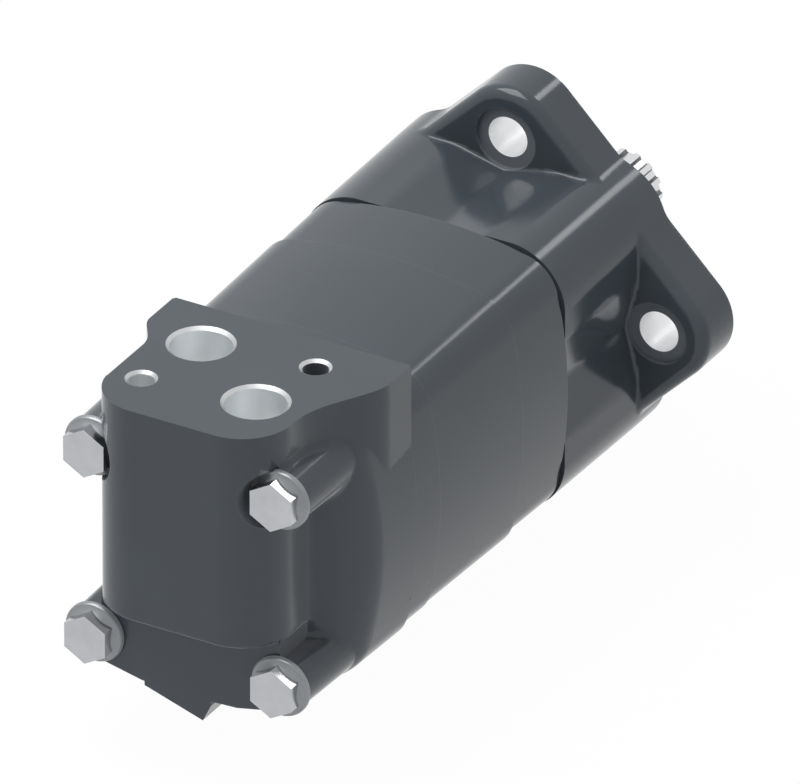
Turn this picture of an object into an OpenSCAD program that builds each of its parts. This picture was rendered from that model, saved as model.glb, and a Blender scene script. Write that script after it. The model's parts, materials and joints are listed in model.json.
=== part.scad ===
// Disc-valve orbital motor. The shaft lies along Y and points to +Y, the port face is up (+Z).
// The origin is the centre of the flange's mounting face. "Depth" is the distance behind that face.

/* [Mounting flange] */
// Bolt circle of the four flange holes
flange_pcd = 106.4; // [104:0.2:109]
// Diameter of a flange hole
flange_hole_d = 13.6; // [11:0.1:14]
// Corner radius of a flange lug around its hole
lug_r = 17; // [15:0.5:19]
// Thickness of a flange lug
lug_t = 17.6; // [15:0.2:20]
// Diameter of the machined seat behind a flange hole
spot_d = 21; // [19:0.5:24]
// Depth of the machined seat below the lug's rear face
spot_depth = 1.5; // [0.5:0.1:2.5]
// Diameter of the centring pilot
pilot_d = 82.5; // [80:0.1:84]
// Height of the centring pilot
pilot_h = 6; // [4:0.5:9]

/* [Bearing housing] */
// Length of the bearing housing behind the mounting face
housing_l = 62.2; // [60:0.1:68]
// Width across the flat sides of the bearing housing
housing_w = 93.2; // [92:0.2:97]
// Corner radius of the bearing housing
housing_corner_r = 20; // [14:0.5:21]
// Half width of the hollow that runs back from each lug
hollow_half_w = 17.6; // [15:0.2:19]
// Depth of that hollow at its middle
hollow_depth = 4.4; // [4:0.1:5]
// Width of the seam groove between bearing housing and wear plate
seam_w = 1.3; // [0.8:0.1:1.6]
// Depth of the seam groove at the corners
seam_depth = 1.6; // [1:0.1:2]

/* [Barrel sections] */
// Distance from the axis to the middle of a barrel side
barrel_half = 47.85; // [47:0.05:49]
// Radius of a barrel side's arc
barrel_side_r = 154.6; // [140:1:180]
// Corner radius of the barrel
barrel_corner_r = 14.5; // [10:0.5:16]
// How far the wear plate and the valve plate stand back from their neighbours
plate_inset = 0.7; // [0.3:0.1:1]
// Length of the wear plate
wear_l = 27.6; // [26:0.1:30]
// Length of the roller ring, which sets the displacement
ring_l = 49.2; // [46:0.1:52]
// Length of the valve plate
plate_l = 15; // [14:0.1:17]

/* [Valve housing] */
// Length of the valve housing
valve_l = 66.1; // [65:0.1:70]
// Length of the barrel-shaped part of the valve housing
valve_barrel_l = 28.5; // [27:0.1:31]
// Height of the port face above the axis
port_face_z = 54.7; // [54:0.1:58]
// Width of the upright rear block
block_w = 63.2; // [61:0.2:65]
// Corner radius of the rear block
block_corner_r = 17; // [15:0.5:18]
// Height of the rear block's lower edge below the axis
block_drop = 18.6; // [16:0.2:21]
// Width of the lower skirt
skirt_w = 66.6; // [66:0.2:68]
// Height of the skirt's ledge below the axis
ledge_drop = 24.6; // [23.6:0.2:26]
// Height of the skirt's lower edge below the axis
skirt_drop = 46.2; // [44:0.2:47]
// Diameter of a tie screw boss
boss_d = 19.4; // [18:0.2:20]

/* [Ports] */
// Bore of a working port
port_bore_d = 19.4; // [18:0.1:20]
// Chamfer diameter of a working port
port_chamfer_d = 21.5; // [20.5:0.1:23]
// Depth of a working port
port_depth = 16; // [14:0.5:16.5]
// Sideways offset of a working port from the port pattern's centre
port_dx = 16; // [15.5:0.1:16.5]
// Lengthways offset of a working port from the port pattern's centre
port_dy = 11.06; // [10.8:0.1:11.4]
// Bore of the two small ports
small_bore_d = 8.3; // [7.5:0.1:9]
// Chamfer diameter of a small port
small_chamfer_d = 10.2; // [9.5:0.1:11]
// Depth of a small port
small_depth = 12; // [10:0.5:13]
// Sideways offset of a small port
small_dx = 21.05; // [20.6:0.05:21.4]
// Lengthways offset of a small port
small_dy = 16.03; // [15.6:0.05:16.4]
// Distance of the port pattern's centre from the rear face
port_back = 34.8; // [34.4:0.1:35.4]

/* [Tie screws] */
// Spacing of the tie screws, both ways
screw_pitch = 65.1; // [64.6:0.1:65.8]
// Thread diameter of a tie screw
screw_d = 9.5; // [9:0.1:9.6]
// Size across the flats of a screw head
screw_af = 14.3; // [13:0.1:15]
// Height of the hexagon above its flange
screw_hex_h = 6; // [5:0.2:8]
// Diameter of a screw head's flange
screw_flange_d = 19.9; // [19:0.1:20.5]
// Thickness of a screw head's flange
screw_flange_t = 2; // [1.5:0.1:2.6]
// Depth of the valve housing's screw seats behind the mounting face, before its rear face
seat_step = 10.8; // [10:0.1:12]

/* [Shaft and bearings] */
// Length of the shaft beyond the mounting face
shaft_out = 59; // [50:0.5:70]
// Outside diameter of the shaft spline
spline_d = 25.4; // [25:0.1:27]
// Number of shaft spline teeth
spline_teeth = 15; // [13:1:17]
// Tooth depth of the shaft spline
spline_tooth_h = 1.5; // [1.2:0.1:1.8]
// Bearing bore
bearing_bore_d = 35; // [34:0.5:35]
// Bearing outside diameter
bearing_d = 70; // [68:0.5:70]
// Bearing width
bearing_w = 17; // [16:0.5:17.5]
// Number of tapered rollers in a bearing
bearing_rollers = 15; // [13:1:16]
// Angle of a bearing's races to the axis
bearing_taper = 10; // [8:0.5:12]
// Diameter of a tapered roller at its middle
taper_roller_d = 8.2; // [7.8:0.1:8.4]

/* [Roller gear set] */
// Number of rollers, one more than the star's lobes
rollers = 7; // [7:1:7]
// Radius of the circle through the roller centres
roller_circle_r = 30.5; // [30:0.1:30.8]
// Radius of a roller
roller_r = 6.35; // [6.1:0.05:6.4]
// Distance of the star's centre from the motor axis
orbit_e = 2.6; // [2.3:0.1:2.7]
// Clearance of a roller in its pocket and against the star
roller_gap = 0.1; // [0.06:0.01:0.14]
// Number of drive spline teeth
drive_teeth = 12; // [11:1:13]
// Radius over the teeth of the drive splines
drive_r = 12; // [11.6:0.1:12.2]
// Radial and sideways clearance of the drive splines
drive_gap = 0.5; // [0.4:0.05:0.7]

/* [Valve] */
// Diameter of the disc valve
disc_d = 56; // [54:0.5:57]
// Thickness of the disc valve
disc_t = 13; // [12:0.5:14]
// Diameter of the balance ring's face
balance_d = 52; // [50:0.5:54]
// Thickness of the balance ring
balance_t = 12; // [11:0.5:13]
// Wire diameter of the small coil springs
spring_wire_d = 0.9; // [0.7:0.05:1]
// Diameter of the case check valve's ball
check_ball_d = 6; // [5:0.5:6]

/* [Fits] */
// Running clearance on a radius
run_gap = 0.05; // [0.02:0.01:0.1]
// Axial running clearance of the turning pieces
face_gap = 0.1; // [0.05:0.01:0.2]
// Section of a square-cut body seal
seal_w = 1.8; // [1.6:0.1:2]

/* [Hidden] */
$fn = 96;
overcut = 1;
lobes = rollers - 1;
star_turn = rollers;

// Depths of the joints between the sections
wear_at = housing_l;
ring_at = wear_at + wear_l;
plate_at = ring_at + ring_l;
valve_at = plate_at + plate_l;
rear_at = valve_at + valve_l;
barrel_end = valve_at + valve_barrel_l;
seat_at = rear_at - seat_step;

// Tie screws
screw_gap = 0.25;
screw_hole_r = screw_d / 2 + screw_gap;
screw_thread_len = 20;
screw_tip_at = wear_at - screw_thread_len;
relief_gap = 1.9;
relief_r = screw_flange_d / 2 + relief_gap;
boss_r = boss_d / 2;

// Bearings, from front to rear
seal_at = 1;
seal_len = 8;
seal_washer_t = 2;
washer_at = seal_at + seal_len - seal_washer_t;
seal_r = 25;
dust_len = 5;
front_bearing_at = 14;
shoulder_step = 7.2;
shoulder_at = housing_l - shoulder_step;
rear_bearing_at = shoulder_at - bearing_w;
cup_step = 2.5;
cup_len = bearing_w - cup_step;
bearing_r = bearing_d / 2;
cone_r = bearing_bore_d / 2;
cage_t = 1.6;
journal_r = 16;
nut_len = 4.5;
nut_at = front_bearing_at - nut_len;
nut_r = 22;
nut_pocket_gap = 5;

// Shaft
spline_r = spline_d / 2;
shaft_root_r = spline_r - spline_tooth_h;
journal_slope = 3;
spline_runout = 2;
spline_start = -pilot_h - spline_runout;
head_r = 24;
head_len = 12;
head_end = shoulder_at + head_len;
head_gap = 2;
washer_t = 0.8;
washer_end = head_end + 2 * face_gap + washer_t;
chamfer = 1.4;

// Drives. Their joints sit on the motor axis and at the star's centre.
main_front_at = shoulder_at;
socket_run = 10;
star_front_at = ring_at + ring_l * 0.25;
valve_front_at = ring_at + ring_l * 0.78;
drive_spline_len = 15;
crown_len = 10;
crown = 0.6;
neck = 1.4;
valve_drive_r = 9;
valve_drive_teeth = 10;
drive_tooth_h = 2;
wear_bore_gap = 3;
wear_bore_r = drive_r + wear_bore_gap;
plate_bore_gap = 1;
plate_bore_r = drive_r + plate_bore_gap;
spacer_r = 8;
spacer_gap = 0.75;
disc_at = valve_at + face_gap;
disc_pivot_at = disc_at + disc_t / 2;

// Gear set
ring_bore_gap = 0.6;
ring_bore_r = roller_circle_r + ring_bore_gap;
roller_side_gap = 0.15;
star_points_per_lobe = 24;
star_points = star_points_per_lobe * lobes;

// Valve
balance_at = disc_at + disc_t + face_gap;
balance_r = balance_d / 2;
balance_step = 4;
balance_step_r = balance_r - balance_step;
balance_hole_r = 12;
balance_rim_t = 4;
balance_back = 6;
cavity_gap = 1.5;
cavity_r = disc_d / 2 + cavity_gap;
rim_gap = 1;
step_at = balance_at + balance_rim_t + rim_gap;
cavity_end = balance_at + balance_t + balance_back;
balance_end = balance_at + balance_t;
pin_socket = 4;
face_seal_w = 1.6;
face_seal_sink = 1.2;
face_seal_at = step_at + rim_gap;
step_gap = 0.2;
spring_gap = 0.3;
spring_r = 2.4;
spring_wire_r = spring_wire_d / 2;
spring_steps = 14;
wire_sides = 6;
spring_turns = 4;
springs = 4;
spring_circle_r = 17;
spring_socket = 3;
pin_r = 2;
pin_circle_r = 17;
disc_port_r = 3;
disc_slot_r = 2.4;
disc_port_circle_r = 23.5;

// Body seals between the sections
seal_circle_r = 38.2;
seal_groove = 1.3;

// Valve housing: the pad's lower limit, the slanting faces beside the block, the skirt's slopes
// and the slanted pad of the cross drilling under it
pad_root_z = 24;
cove_run = 10.2;
skirt_rise = [4.4, 0.8];
gallery_left_x = -15.7;
gallery_tip_x = 4.7;
gallery_right_x = 7.5;
gallery_drop = [0.7, 7.1, 1.3];
gallery_root = 6;

// Ports
port_y = -(rear_at - port_back);
gallery_r = 4.5;
drain_gallery_r = 3;
cross_r = 3;
cross_z = 8;

// The port face outline, from the pattern's centre: the front edge and the flared ears
pad_rear_y = -(rear_at + port_y);
pad_front_y = -(valve_at + port_y);
ear_left = 37.3;
ear_right = 45.5;
pad_left_inset = 0.4;
pad_left = block_w / 2 - pad_left_inset;
pad_right_outset = 0.6;
pad_right = block_w / 2 + pad_right_outset;
ear_root = 4.4;

screw_metal = [0.72, 0.73, 0.74];
paint = [0.36, 0.39, 0.42];
steel = [0.62, 0.64, 0.66];
dark_steel = [0.45, 0.46, 0.48];
rubber = [0.1, 0.1, 0.11];
bronze = [0.6, 0.47, 0.25];

// A flat outline (x across, y up) pushed rearwards from a depth
module section(at, len) translate([0, -at, 0]) rotate([90, 0, 0]) linear_extrude(len) children();

// A profile of (radius, depth) turned about the motor axis
module turned() rotate([90, 0, 0]) rotate_extrude() children();

// A plain ring on the motor axis
module collar(at, len, outer, inner)
    section(at, len) difference() { circle(outer); circle(inner); }

// The same thing at the four flange holes, and at the four tie screws
module at_lugs() for (k = [0:3]) rotate([0, 90 * k, 0]) children();
module at_screws()
    for (sx = [-1, 1], sz = [-1, 1]) translate([sx * screw_pitch / 2, 0, sz * screw_pitch / 2]) children();

// A square with round corners, given its width
module round_square(width, r) {
    inner = width - 2 * r;
    square([width, inner], center = true);
    square([inner, width], center = true);
    for (sx = [-1, 1], sy = [-1, 1]) translate([sx * inner / 2, sy * inner / 2]) circle(r);
}

// The flange: a square that stands on its corner, with one hole in each round corner
module flange_outline()
    rotate(45) round_square(flange_pcd / sqrt(2) + 2 * lug_r, lug_r);

// The barrel: four bulging sides of one arc each, and four round corners that touch the sides
side_centre = barrel_side_r - barrel_half;
corner_reach = barrel_side_r - barrel_corner_r;
corner_xy = (-side_centre + sqrt(2 * pow(corner_reach, 2) - pow(side_centre, 2))) / 2;
module barrel_outline(inset = 0) {
    touch = (barrel_side_r - inset) / corner_reach;
    touch_sum = (2 * corner_xy + side_centre) * touch - side_centre;
    intersection() {
        barrel_side(0, inset);
        barrel_side(90, inset);
        barrel_side(180, inset);
        barrel_side(270, inset);
        rotate(45) square(touch_sum * sqrt(2), center = true);
    }
    for (sx = [-1, 1], sy = [-1, 1]) translate([sx * corner_xy, sy * corner_xy])
        circle(barrel_corner_r - inset);
}
module barrel_side(turn, inset)
    rotate(turn) translate([0, -side_centre]) circle(barrel_side_r - inset, $fn = 360);

// Straight-sided splines: the outline of an outer spline, by its teeth and tooth depth
module spline_outline(r, teeth, depth, grow = 0) {
    circle(r - depth + grow);
    tooth_w = PI * r / teeth + 2 * grow;
    intersection() {
        circle(r + grow);
        for (k = [0:teeth - 1]) rotate(360 * k / teeth)
            translate([0, -tooth_w / 2]) square([r + grow + overcut, tooth_w]);
    }
}

// A seal groove, and the square-cut seal that fills its depth
module seal_ring(at) color(rubber)
    collar(at, seal_groove, seal_circle_r + seal_w / 2, seal_circle_r - seal_w / 2);
module seal_cut(at)
    collar(at, seal_groove, seal_circle_r + seal_w / 2 + run_gap, seal_circle_r - seal_w / 2 - run_gap);
module screw_holes(from, to)
    at_screws() section(from - overcut, to - from + 2 * overcut) circle(screw_hole_r);

// Cast housing with the flange, both bearing seats and the shaft seal's seat
module bearing_housing() color(paint) {
    difference() {
        union() {
            section(0, housing_l) round_square(housing_w, housing_corner_r);
            section(0, lug_t) flange_outline();
            section(-pilot_h, pilot_h + overcut) circle(pilot_d / 2);
        }
        at_lugs() {
            translate([0, 0, flange_pcd / 2]) {
                section(-overcut, lug_t + 2 * overcut) circle(flange_hole_d / 2);
                section(lug_t - spot_depth, spot_depth + overcut) circle(spot_d / 2);
            }
            section(lug_t, housing_l - lug_t + overcut) hollow_outline();
        }
        section(housing_l - seam_w, seam_w + overcut) difference() {
            square(2 * housing_w, center = true);
            barrel_outline(seam_depth);
        }
        turned() housing_bore();
        screw_holes(screw_tip_at, housing_l);
    }
}
module housing_bore() {
    stop_r = bearing_r - cup_wall;
    nut_pocket_r = nut_r + nut_pocket_gap;
    polygon([[0, -pilot_h - overcut], [seal_r, -pilot_h - overcut], [seal_r, seal_at + seal_len],
        [nut_pocket_r, seal_at + seal_len], [nut_pocket_r, front_bearing_at], [bearing_r, front_bearing_at],
        [bearing_r, front_bearing_at + cup_len], [stop_r, front_bearing_at + cup_len],
        [stop_r, shoulder_at - cup_len], [bearing_r, shoulder_at - cup_len],
        [bearing_r, housing_l + overcut], [0, housing_l + overcut]]);
}
// The shallow V that clears the flange screws' heads, in the housing's upper side
module hollow_outline() {
    half = housing_w / 2;
    polygon([[-hollow_half_w, half], [0, half - hollow_depth], [hollow_half_w, half],
        [hollow_half_w, half + overcut], [-hollow_half_w, half + overcut]]);
}

// Section plates between the housings
module plate(at, len, bore_r, inset = 0) difference() {
    section(at, len) barrel_outline(inset);
    section(at - overcut, len + 2 * overcut) circle(bore_r);
    screw_holes(at, at + len);
}
module wear_plate() color(paint) difference() {
    plate(wear_at, wear_l, wear_bore_r, plate_inset);
    section(wear_at - overcut, washer_end - wear_at + overcut) circle(head_r + head_gap);
    seal_cut(wear_at);
    seal_cut(ring_at - seal_groove);
}
module roller_ring() color(paint) difference() {
    plate(ring_at, ring_l, ring_bore_r);
    for (k = [0:rollers - 1]) rotate([0, -360 * k / rollers, 0]) translate([roller_circle_r, 0, 0])
        section(ring_at - overcut, ring_l + 2 * overcut) circle(roller_r + roller_gap);
}
module valve_plate() color(paint) difference() {
    plate(plate_at, plate_l, plate_bore_r, plate_inset);
    for (k = [0:rollers - 1]) rotate([0, -360 * (k + 0.5) / rollers, 0]) translate([disc_port_circle_r, 0, 0])
        section(plate_at - overcut, plate_l + 2 * overcut) circle(disc_port_r);
    seal_cut(plate_at);
    seal_cut(valve_at - seal_groove);
}
module housing_seal() seal_ring(wear_at);
module wear_plate_seal() seal_ring(ring_at - seal_groove);
module valve_plate_seal() seal_ring(plate_at);
module valve_housing_seal() seal_ring(valve_at - seal_groove);

// Plan of the port face, seen from above. Its sides flare into an ear by a smooth step.
function smooth(t) = t * t * (3 - 2 * t);
function flare(from, to, y0, y1) = [for (k = [0:flare_steps]) let (t = k / flare_steps)
    [from + (to - from) * smooth(t), y0 + (y1 - y0) * t]];
flare_steps = 8;
ear_left_start = 3.5;
ear_left_end = 16.5;
ear_right_start = -2;
ear_right_end = 19;
module pad_plan() {
    left = flare(-pad_left, -ear_left, ear_left_start, ear_left_end);
    right = flare(pad_right + ear_root, ear_right, ear_right_start, ear_right_end);
    polygon(concat([[pad_right, pad_rear_y + block_corner_r]], right, [[ear_right, pad_front_y],
        [-ear_left, pad_front_y]], [for (k = [flare_steps:-1:0]) left[k]],
        [[-pad_left, pad_rear_y + block_corner_r]]));
    block_plan();
}
module block_plan() {
    y0 = pad_rear_y;
    r = block_corner_r;
    translate([-pad_left, y0 + r]) square([pad_left + pad_right, -y0 - r]);
    translate([-pad_left + r, y0]) square([pad_left + pad_right - 2 * r, r + overcut]);
    for (x = [-pad_left + r, pad_right - r]) translate([x, y0 + r]) circle(r);
}

// Cast valve housing: barrel section, upright block, port pad, lower skirt and four screw bosses
module valve_housing_body() {
    section(valve_at, valve_barrel_l) barrel_outline();
    translate([0, port_y, pad_root_z]) linear_extrude(port_face_z - pad_root_z) pad_plan();
    translate([0, port_y, -block_drop]) linear_extrude(port_face_z + block_drop) block_plan();
    intersection() {
        translate([0, 0, -ledge_drop]) linear_extrude(screw_pitch / 2 + ledge_drop) cove_plan();
        section(barrel_end - overcut, seat_at - barrel_end + overcut) barrel_outline();
    }
    section(barrel_end - overcut, seat_at - barrel_end + overcut) skirt_outline();
    section(barrel_end - overcut, seat_at - barrel_end + overcut) gallery_boss_outline();
    at_screws() section(valve_at + overcut, seat_at - valve_at - overcut) circle(boss_r);
}
// The slanting faces between the barrel section and the block, in plan
module cove_plan() {
    x = block_w / 2;
    wide = barrel_half;
    polygon([[-wide, -barrel_end], [-x, -barrel_end - cove_run], [-x, -seat_at], [x, -seat_at],
        [x, -barrel_end - cove_run], [wide, -barrel_end], [wide - overcut, -barrel_end + overcut],
        [-wide + overcut, -barrel_end + overcut]]);
}
module skirt_outline() {
    half = skirt_w / 2;
    side_z = -skirt_drop + skirt_rise[0];
    knee_z = -skirt_drop + skirt_rise[1];
    polygon([[-half, -ledge_drop], [-half, side_z], [-half / 2, knee_z], [0, -skirt_drop],
        [half / 2, knee_z], [half, side_z], [half, -ledge_drop]]);
}
// The slanted pad of a cross drilling, low at the rear
module gallery_boss_outline() {
    root = -skirt_drop + gallery_root;
    polygon([[gallery_left_x, root], [gallery_left_x, -skirt_drop - gallery_drop[0]],
        [gallery_tip_x, -skirt_drop - gallery_drop[1]], [gallery_right_x, -skirt_drop - gallery_drop[2]],
        [gallery_right_x, root]]);
}

module valve_housing() color(paint) difference() {
    valve_housing_body();
    at_screws() section(seat_at, seat_step + overcut) circle(relief_r);
    screw_holes(valve_at, seat_at);
    turned() polygon([[0, valve_at - overcut], [cavity_r, valve_at - overcut], [cavity_r, step_at],
        [balance_step_r + run_gap + step_gap, step_at], [balance_step_r + run_gap + step_gap, cavity_end],
        [0, cavity_end]]);
    ports();
    check_bore();
    at_pins() section(cavity_end - overcut, pin_socket + overcut) circle(pin_r);
}
module port_hole(x, y, chamfer_r, bore_r, depth) translate([x, port_y + y, 0]) {
    translate([0, 0, port_face_z - depth]) cylinder(h = depth + overcut, r = bore_r);
    slope = chamfer_r - bore_r;
    translate([0, 0, port_face_z - slope])
        cylinder(h = slope + overcut, r1 = bore_r, r2 = chamfer_r + overcut);
}
module ports() {
    port_hole(-port_dx, port_dy, port_chamfer_d / 2, port_bore_d / 2, port_depth);
    port_hole(port_dx, -port_dy, port_chamfer_d / 2, port_bore_d / 2, port_depth);
    port_hole(-small_dx, -small_dy, small_chamfer_d / 2, small_bore_d / 2, small_depth);
    port_hole(small_dx, small_dy, small_chamfer_d / 2, small_bore_d / 2, small_depth);
    gallery(-port_dx, port_dy, port_depth, cavity_wall_z(port_dx + gallery_r), gallery_r);
    gallery(small_dx, small_dy, small_depth, cavity_wall_z(small_dx + drain_gallery_r), drain_gallery_r);
    gallery(port_dx, -port_dy, port_depth, cross_z - gallery_r, gallery_r);
    translate([port_dx, 0, cross_z])
        section(cavity_end - overcut, port_dy - port_y - cavity_end) circle(cross_r);
}
// A drilled passage from the floor of a port down to the valve cavity, or to the cross drilling that
// leads the rear port into the cavity's floor
function cavity_wall_z(x) = sqrt(pow(cavity_r, 2) - pow(x, 2)) - overcut;
module gallery(x, y, depth, to_z, r) translate([x, port_y + y, to_z])
    cylinder(h = port_face_z - depth - to_z + overcut, r = r);

// Case check valve: seat, ball and spring in an upright bore under the valve cavity
check_x = -4;
check_inset = 5;
check_at = cavity_end - check_inset;
check_r = check_ball_d / 2;
check_seat_lip = 1;
check_hole_r = check_r - check_seat_lip;
check_bore_r = check_r + spring_wire_d;
check_seat_len = 4;
check_spring_len = 6;
check_seat_gap = 1;
check_seat_z = -balance_step_r - check_seat_gap;
check_ball_z = check_seat_z - check_seat_len - sqrt(pow(check_r, 2) - pow(check_hole_r, 2));
check_spring_z = check_ball_z - check_r;
check_end_z = check_spring_z - check_spring_len;
module check_place(z) translate([check_x, -check_at, z]) children();
module check_bore() check_place(check_end_z) cylinder(h = -check_end_z, r = check_bore_r);
module case_check_seat() color(steel) check_place(check_seat_z - check_seat_len) difference() {
    cylinder(h = check_seat_len, r = check_bore_r - run_gap);
    translate([0, 0, -overcut]) cylinder(h = check_seat_len + 2 * overcut, r = check_hole_r);
}
module case_check_ball() color(steel) check_place(check_ball_z) sphere(check_r);
module case_check_spring() color(steel) check_place(0) rotate([90, 0, 0])
    coil_spring(-check_spring_z, -check_end_z, check_r - spring_wire_r);

// A small coil spring: a round wire swept along a helix between two depths
function wire_point(i, k, from, rise, r) =
    let (turn = 360 * i / spring_steps, side = 360 * k / wire_sides, out = r + spring_wire_r * cos(side))
    [out * cos(turn), -(from + rise * i + spring_wire_r * sin(side)), out * sin(turn)];
module coil_spring(from, to, r) {
    steps = spring_turns * spring_steps;
    rise = (to - from - spring_wire_d) / steps;
    first = from + spring_wire_r;
    points = [for (i = [0:steps], k = [0:wire_sides - 1]) wire_point(i, k, first, rise, r)];
    sides = [for (i = [0:steps - 1], k = [0:wire_sides - 1])
        let (a = i * wire_sides, b = (k + 1) % wire_sides, c = a + wire_sides)
        each [[a + k, a + b, c + b], [a + k, c + b, c + k]]];
    ends = [[for (k = [wire_sides - 1:-1:0]) k], [for (k = [0:wire_sides - 1]) steps * wire_sides + k]];
    polyhedron(points, concat(sides, ends));
}

// Flange-head screw, from the seat forward into the bearing housing
module tie_screws() color(screw_metal) at_screws() {
    section(screw_tip_at + overcut, seat_at - screw_tip_at) circle(screw_d / 2);
    section(seat_at, screw_flange_t) circle(screw_flange_d / 2);
    section(seat_at + screw_flange_t, screw_hex_h)
        rotate(90) circle(screw_af / 2 / cos(30), $fn = 6);
}

// Output shaft: outer spline, seal journal, bearing seats and the head with the inner drive spline
module output_shaft() color(steel) difference() {
    union() {
        intersection() {
            section(-shaft_out, shaft_out + spline_start)
                spline_outline(spline_r, spline_teeth, spline_tooth_h);
            turned() polygon([[0, -shaft_out], [spline_r - chamfer, -shaft_out],
                [spline_r, -shaft_out + chamfer], [spline_r, spline_start], [0, spline_start]]);
        }
        turned() polygon([[0, spline_start - overcut], [shaft_root_r, spline_start - overcut],
            [shaft_root_r, spline_start], [journal_r, spline_start + journal_slope], [journal_r, nut_at],
            [cone_r, nut_at], [cone_r, shoulder_at], [head_r, shoulder_at], [head_r, head_end],
            [0, head_end]]);
    }
    section(main_front_at - socket_run, head_end - main_front_at + socket_run + overcut)
        spline_outline(drive_r, drive_teeth, drive_tooth_h, drive_gap);
}

// Taper roller bearing. It opens to the front (dir = 1) or to the rear (dir = -1).
rib_rear = 1.4;
rib_front = 1.8;
rib_h = 1;
taper_gap = 0.1;
roller_end_gap = 0.9;
roller_mid = (bearing_w - rib_rear + rib_front) / 2;
race_rise = (bearing_w - rib_rear) * tan(bearing_taper);
race_space = (taper_roller_d + 2 * taper_gap) / cos(bearing_taper);
cup_wall = (bearing_r - cone_r - race_rise - race_space) / 2;
cone_wall = cup_wall;
function cup_race(d) = bearing_r - cup_wall - d * tan(bearing_taper);
function cone_race(d) = cone_r + cone_wall + (bearing_w - rib_rear - d) * tan(bearing_taper);
taper_roller_len = bearing_w - rib_rear - rib_front - 2 * roller_end_gap;
taper_roller_mid = (cup_race(roller_mid) + cone_race(roller_mid)) / 2;
module bearing_place(at, dir) translate([0, -at - bearing_w / 2, 0]) rotate([dir > 0 ? 0 : 180, 0, 0])
    translate([0, bearing_w / 2, 0]) children();
module bearing_cup(at, dir) color(steel) bearing_place(at, dir)
    turned() polygon([[bearing_r, 0], [bearing_r, cup_len], [cup_race(cup_len), cup_len], [cup_race(0), 0]]);
module bearing_cone(at, dir) color(steel) bearing_place(at, dir)
    turned() polygon([[cone_r, 0], [cone_r, bearing_w], [cone_race(bearing_w - rib_rear) + rib_h, bearing_w],
        [cone_race(bearing_w - rib_rear) + rib_h, bearing_w - rib_rear],
        [cone_race(bearing_w - rib_rear), bearing_w - rib_rear], [cone_race(rib_front), rib_front],
        [cone_race(rib_front) + rib_h, rib_front], [cone_race(rib_front) + rib_h, 0]]);
module taper_roller_at(k, len, r) rotate([0, 360 * k / bearing_rollers, 0])
    translate([taper_roller_mid, -roller_mid, 0]) rotate([0, 0, -bearing_taper])
        rotate([90, 0, 0]) cylinder(h = len, r = r, center = true);
module bearing_roller_set(at, dir) color(screw_metal) bearing_place(at, dir)
    for (k = [0:bearing_rollers - 1]) taper_roller_at(k, taper_roller_len, taper_roller_d / 2);
module bearing_cage(at, dir) color(bronze) bearing_place(at, dir) difference() {
    half = cage_t / 2;
    turned() polygon([[cage_mid(cage_from) - half, cage_from], [cage_mid(cage_from) + half, cage_from],
        [cage_mid(cage_to) + half, cage_to], [cage_mid(cage_to) - half, cage_to]]);
    for (k = [0:bearing_rollers - 1])
        taper_roller_at(k, taper_roller_len + 2 * taper_gap, taper_roller_d / 2 + taper_gap);
}
cage_from = 0.8;
cage_out = 0.6;
cage_to = bearing_w - cage_out;
function cage_mid(d) = taper_roller_mid + cage_out - (d - roller_mid) * tan(bearing_taper);
module front_bearing_cup() bearing_cup(front_bearing_at, 1);
module front_bearing_cone() bearing_cone(front_bearing_at, 1);
module front_bearing_rollers() bearing_roller_set(front_bearing_at, 1);
module front_bearing_cage() bearing_cage(front_bearing_at, 1);
module rear_bearing_cup() bearing_cup(rear_bearing_at, -1);
module rear_bearing_cone() bearing_cone(rear_bearing_at, -1);
module rear_bearing_rollers() bearing_roller_set(rear_bearing_at, -1);
module rear_bearing_cage() bearing_cage(rear_bearing_at, -1);
module bearing_nut() color(dark_steel) collar(nut_at, nut_len, nut_r, cone_r);
module thrust_washer() color(dark_steel) collar(head_end + face_gap, washer_t, head_r, wear_bore_r);

// Seals at the shaft's exit: each has a lip that thins towards the shaft
dust_inset = 0.6;
dust_at = dust_inset - pilot_h;
dust_lip = 1;
seal_wall = 2;
module dust_seal() color(rubber) turned() polygon([[journal_r + run_gap, dust_at], [seal_r, dust_at],
    [seal_r, dust_len - pilot_h], [journal_r + seal_wall, dust_len - pilot_h],
    [journal_r + seal_wall, dust_at + 2 * dust_lip], [journal_r + run_gap, dust_at + dust_lip]]);
module shaft_seal() color(rubber) {
    web = seal_at + seal_wall;
    turned() polygon([[journal_r + run_gap, web], [journal_r + seal_wall, seal_at], [seal_r, seal_at],
        [seal_r, washer_at], [seal_r - seal_wall, washer_at], [seal_r - seal_wall, web],
        [journal_r + seal_wall, web + dust_lip], [journal_r + seal_wall, web + 3 * dust_lip],
        [journal_r + run_gap, web + 2 * dust_lip]]);
}
module seal_washer() color(steel) collar(washer_at, seal_washer_t, seal_r, seal_r - 3 * seal_washer_t);

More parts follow.
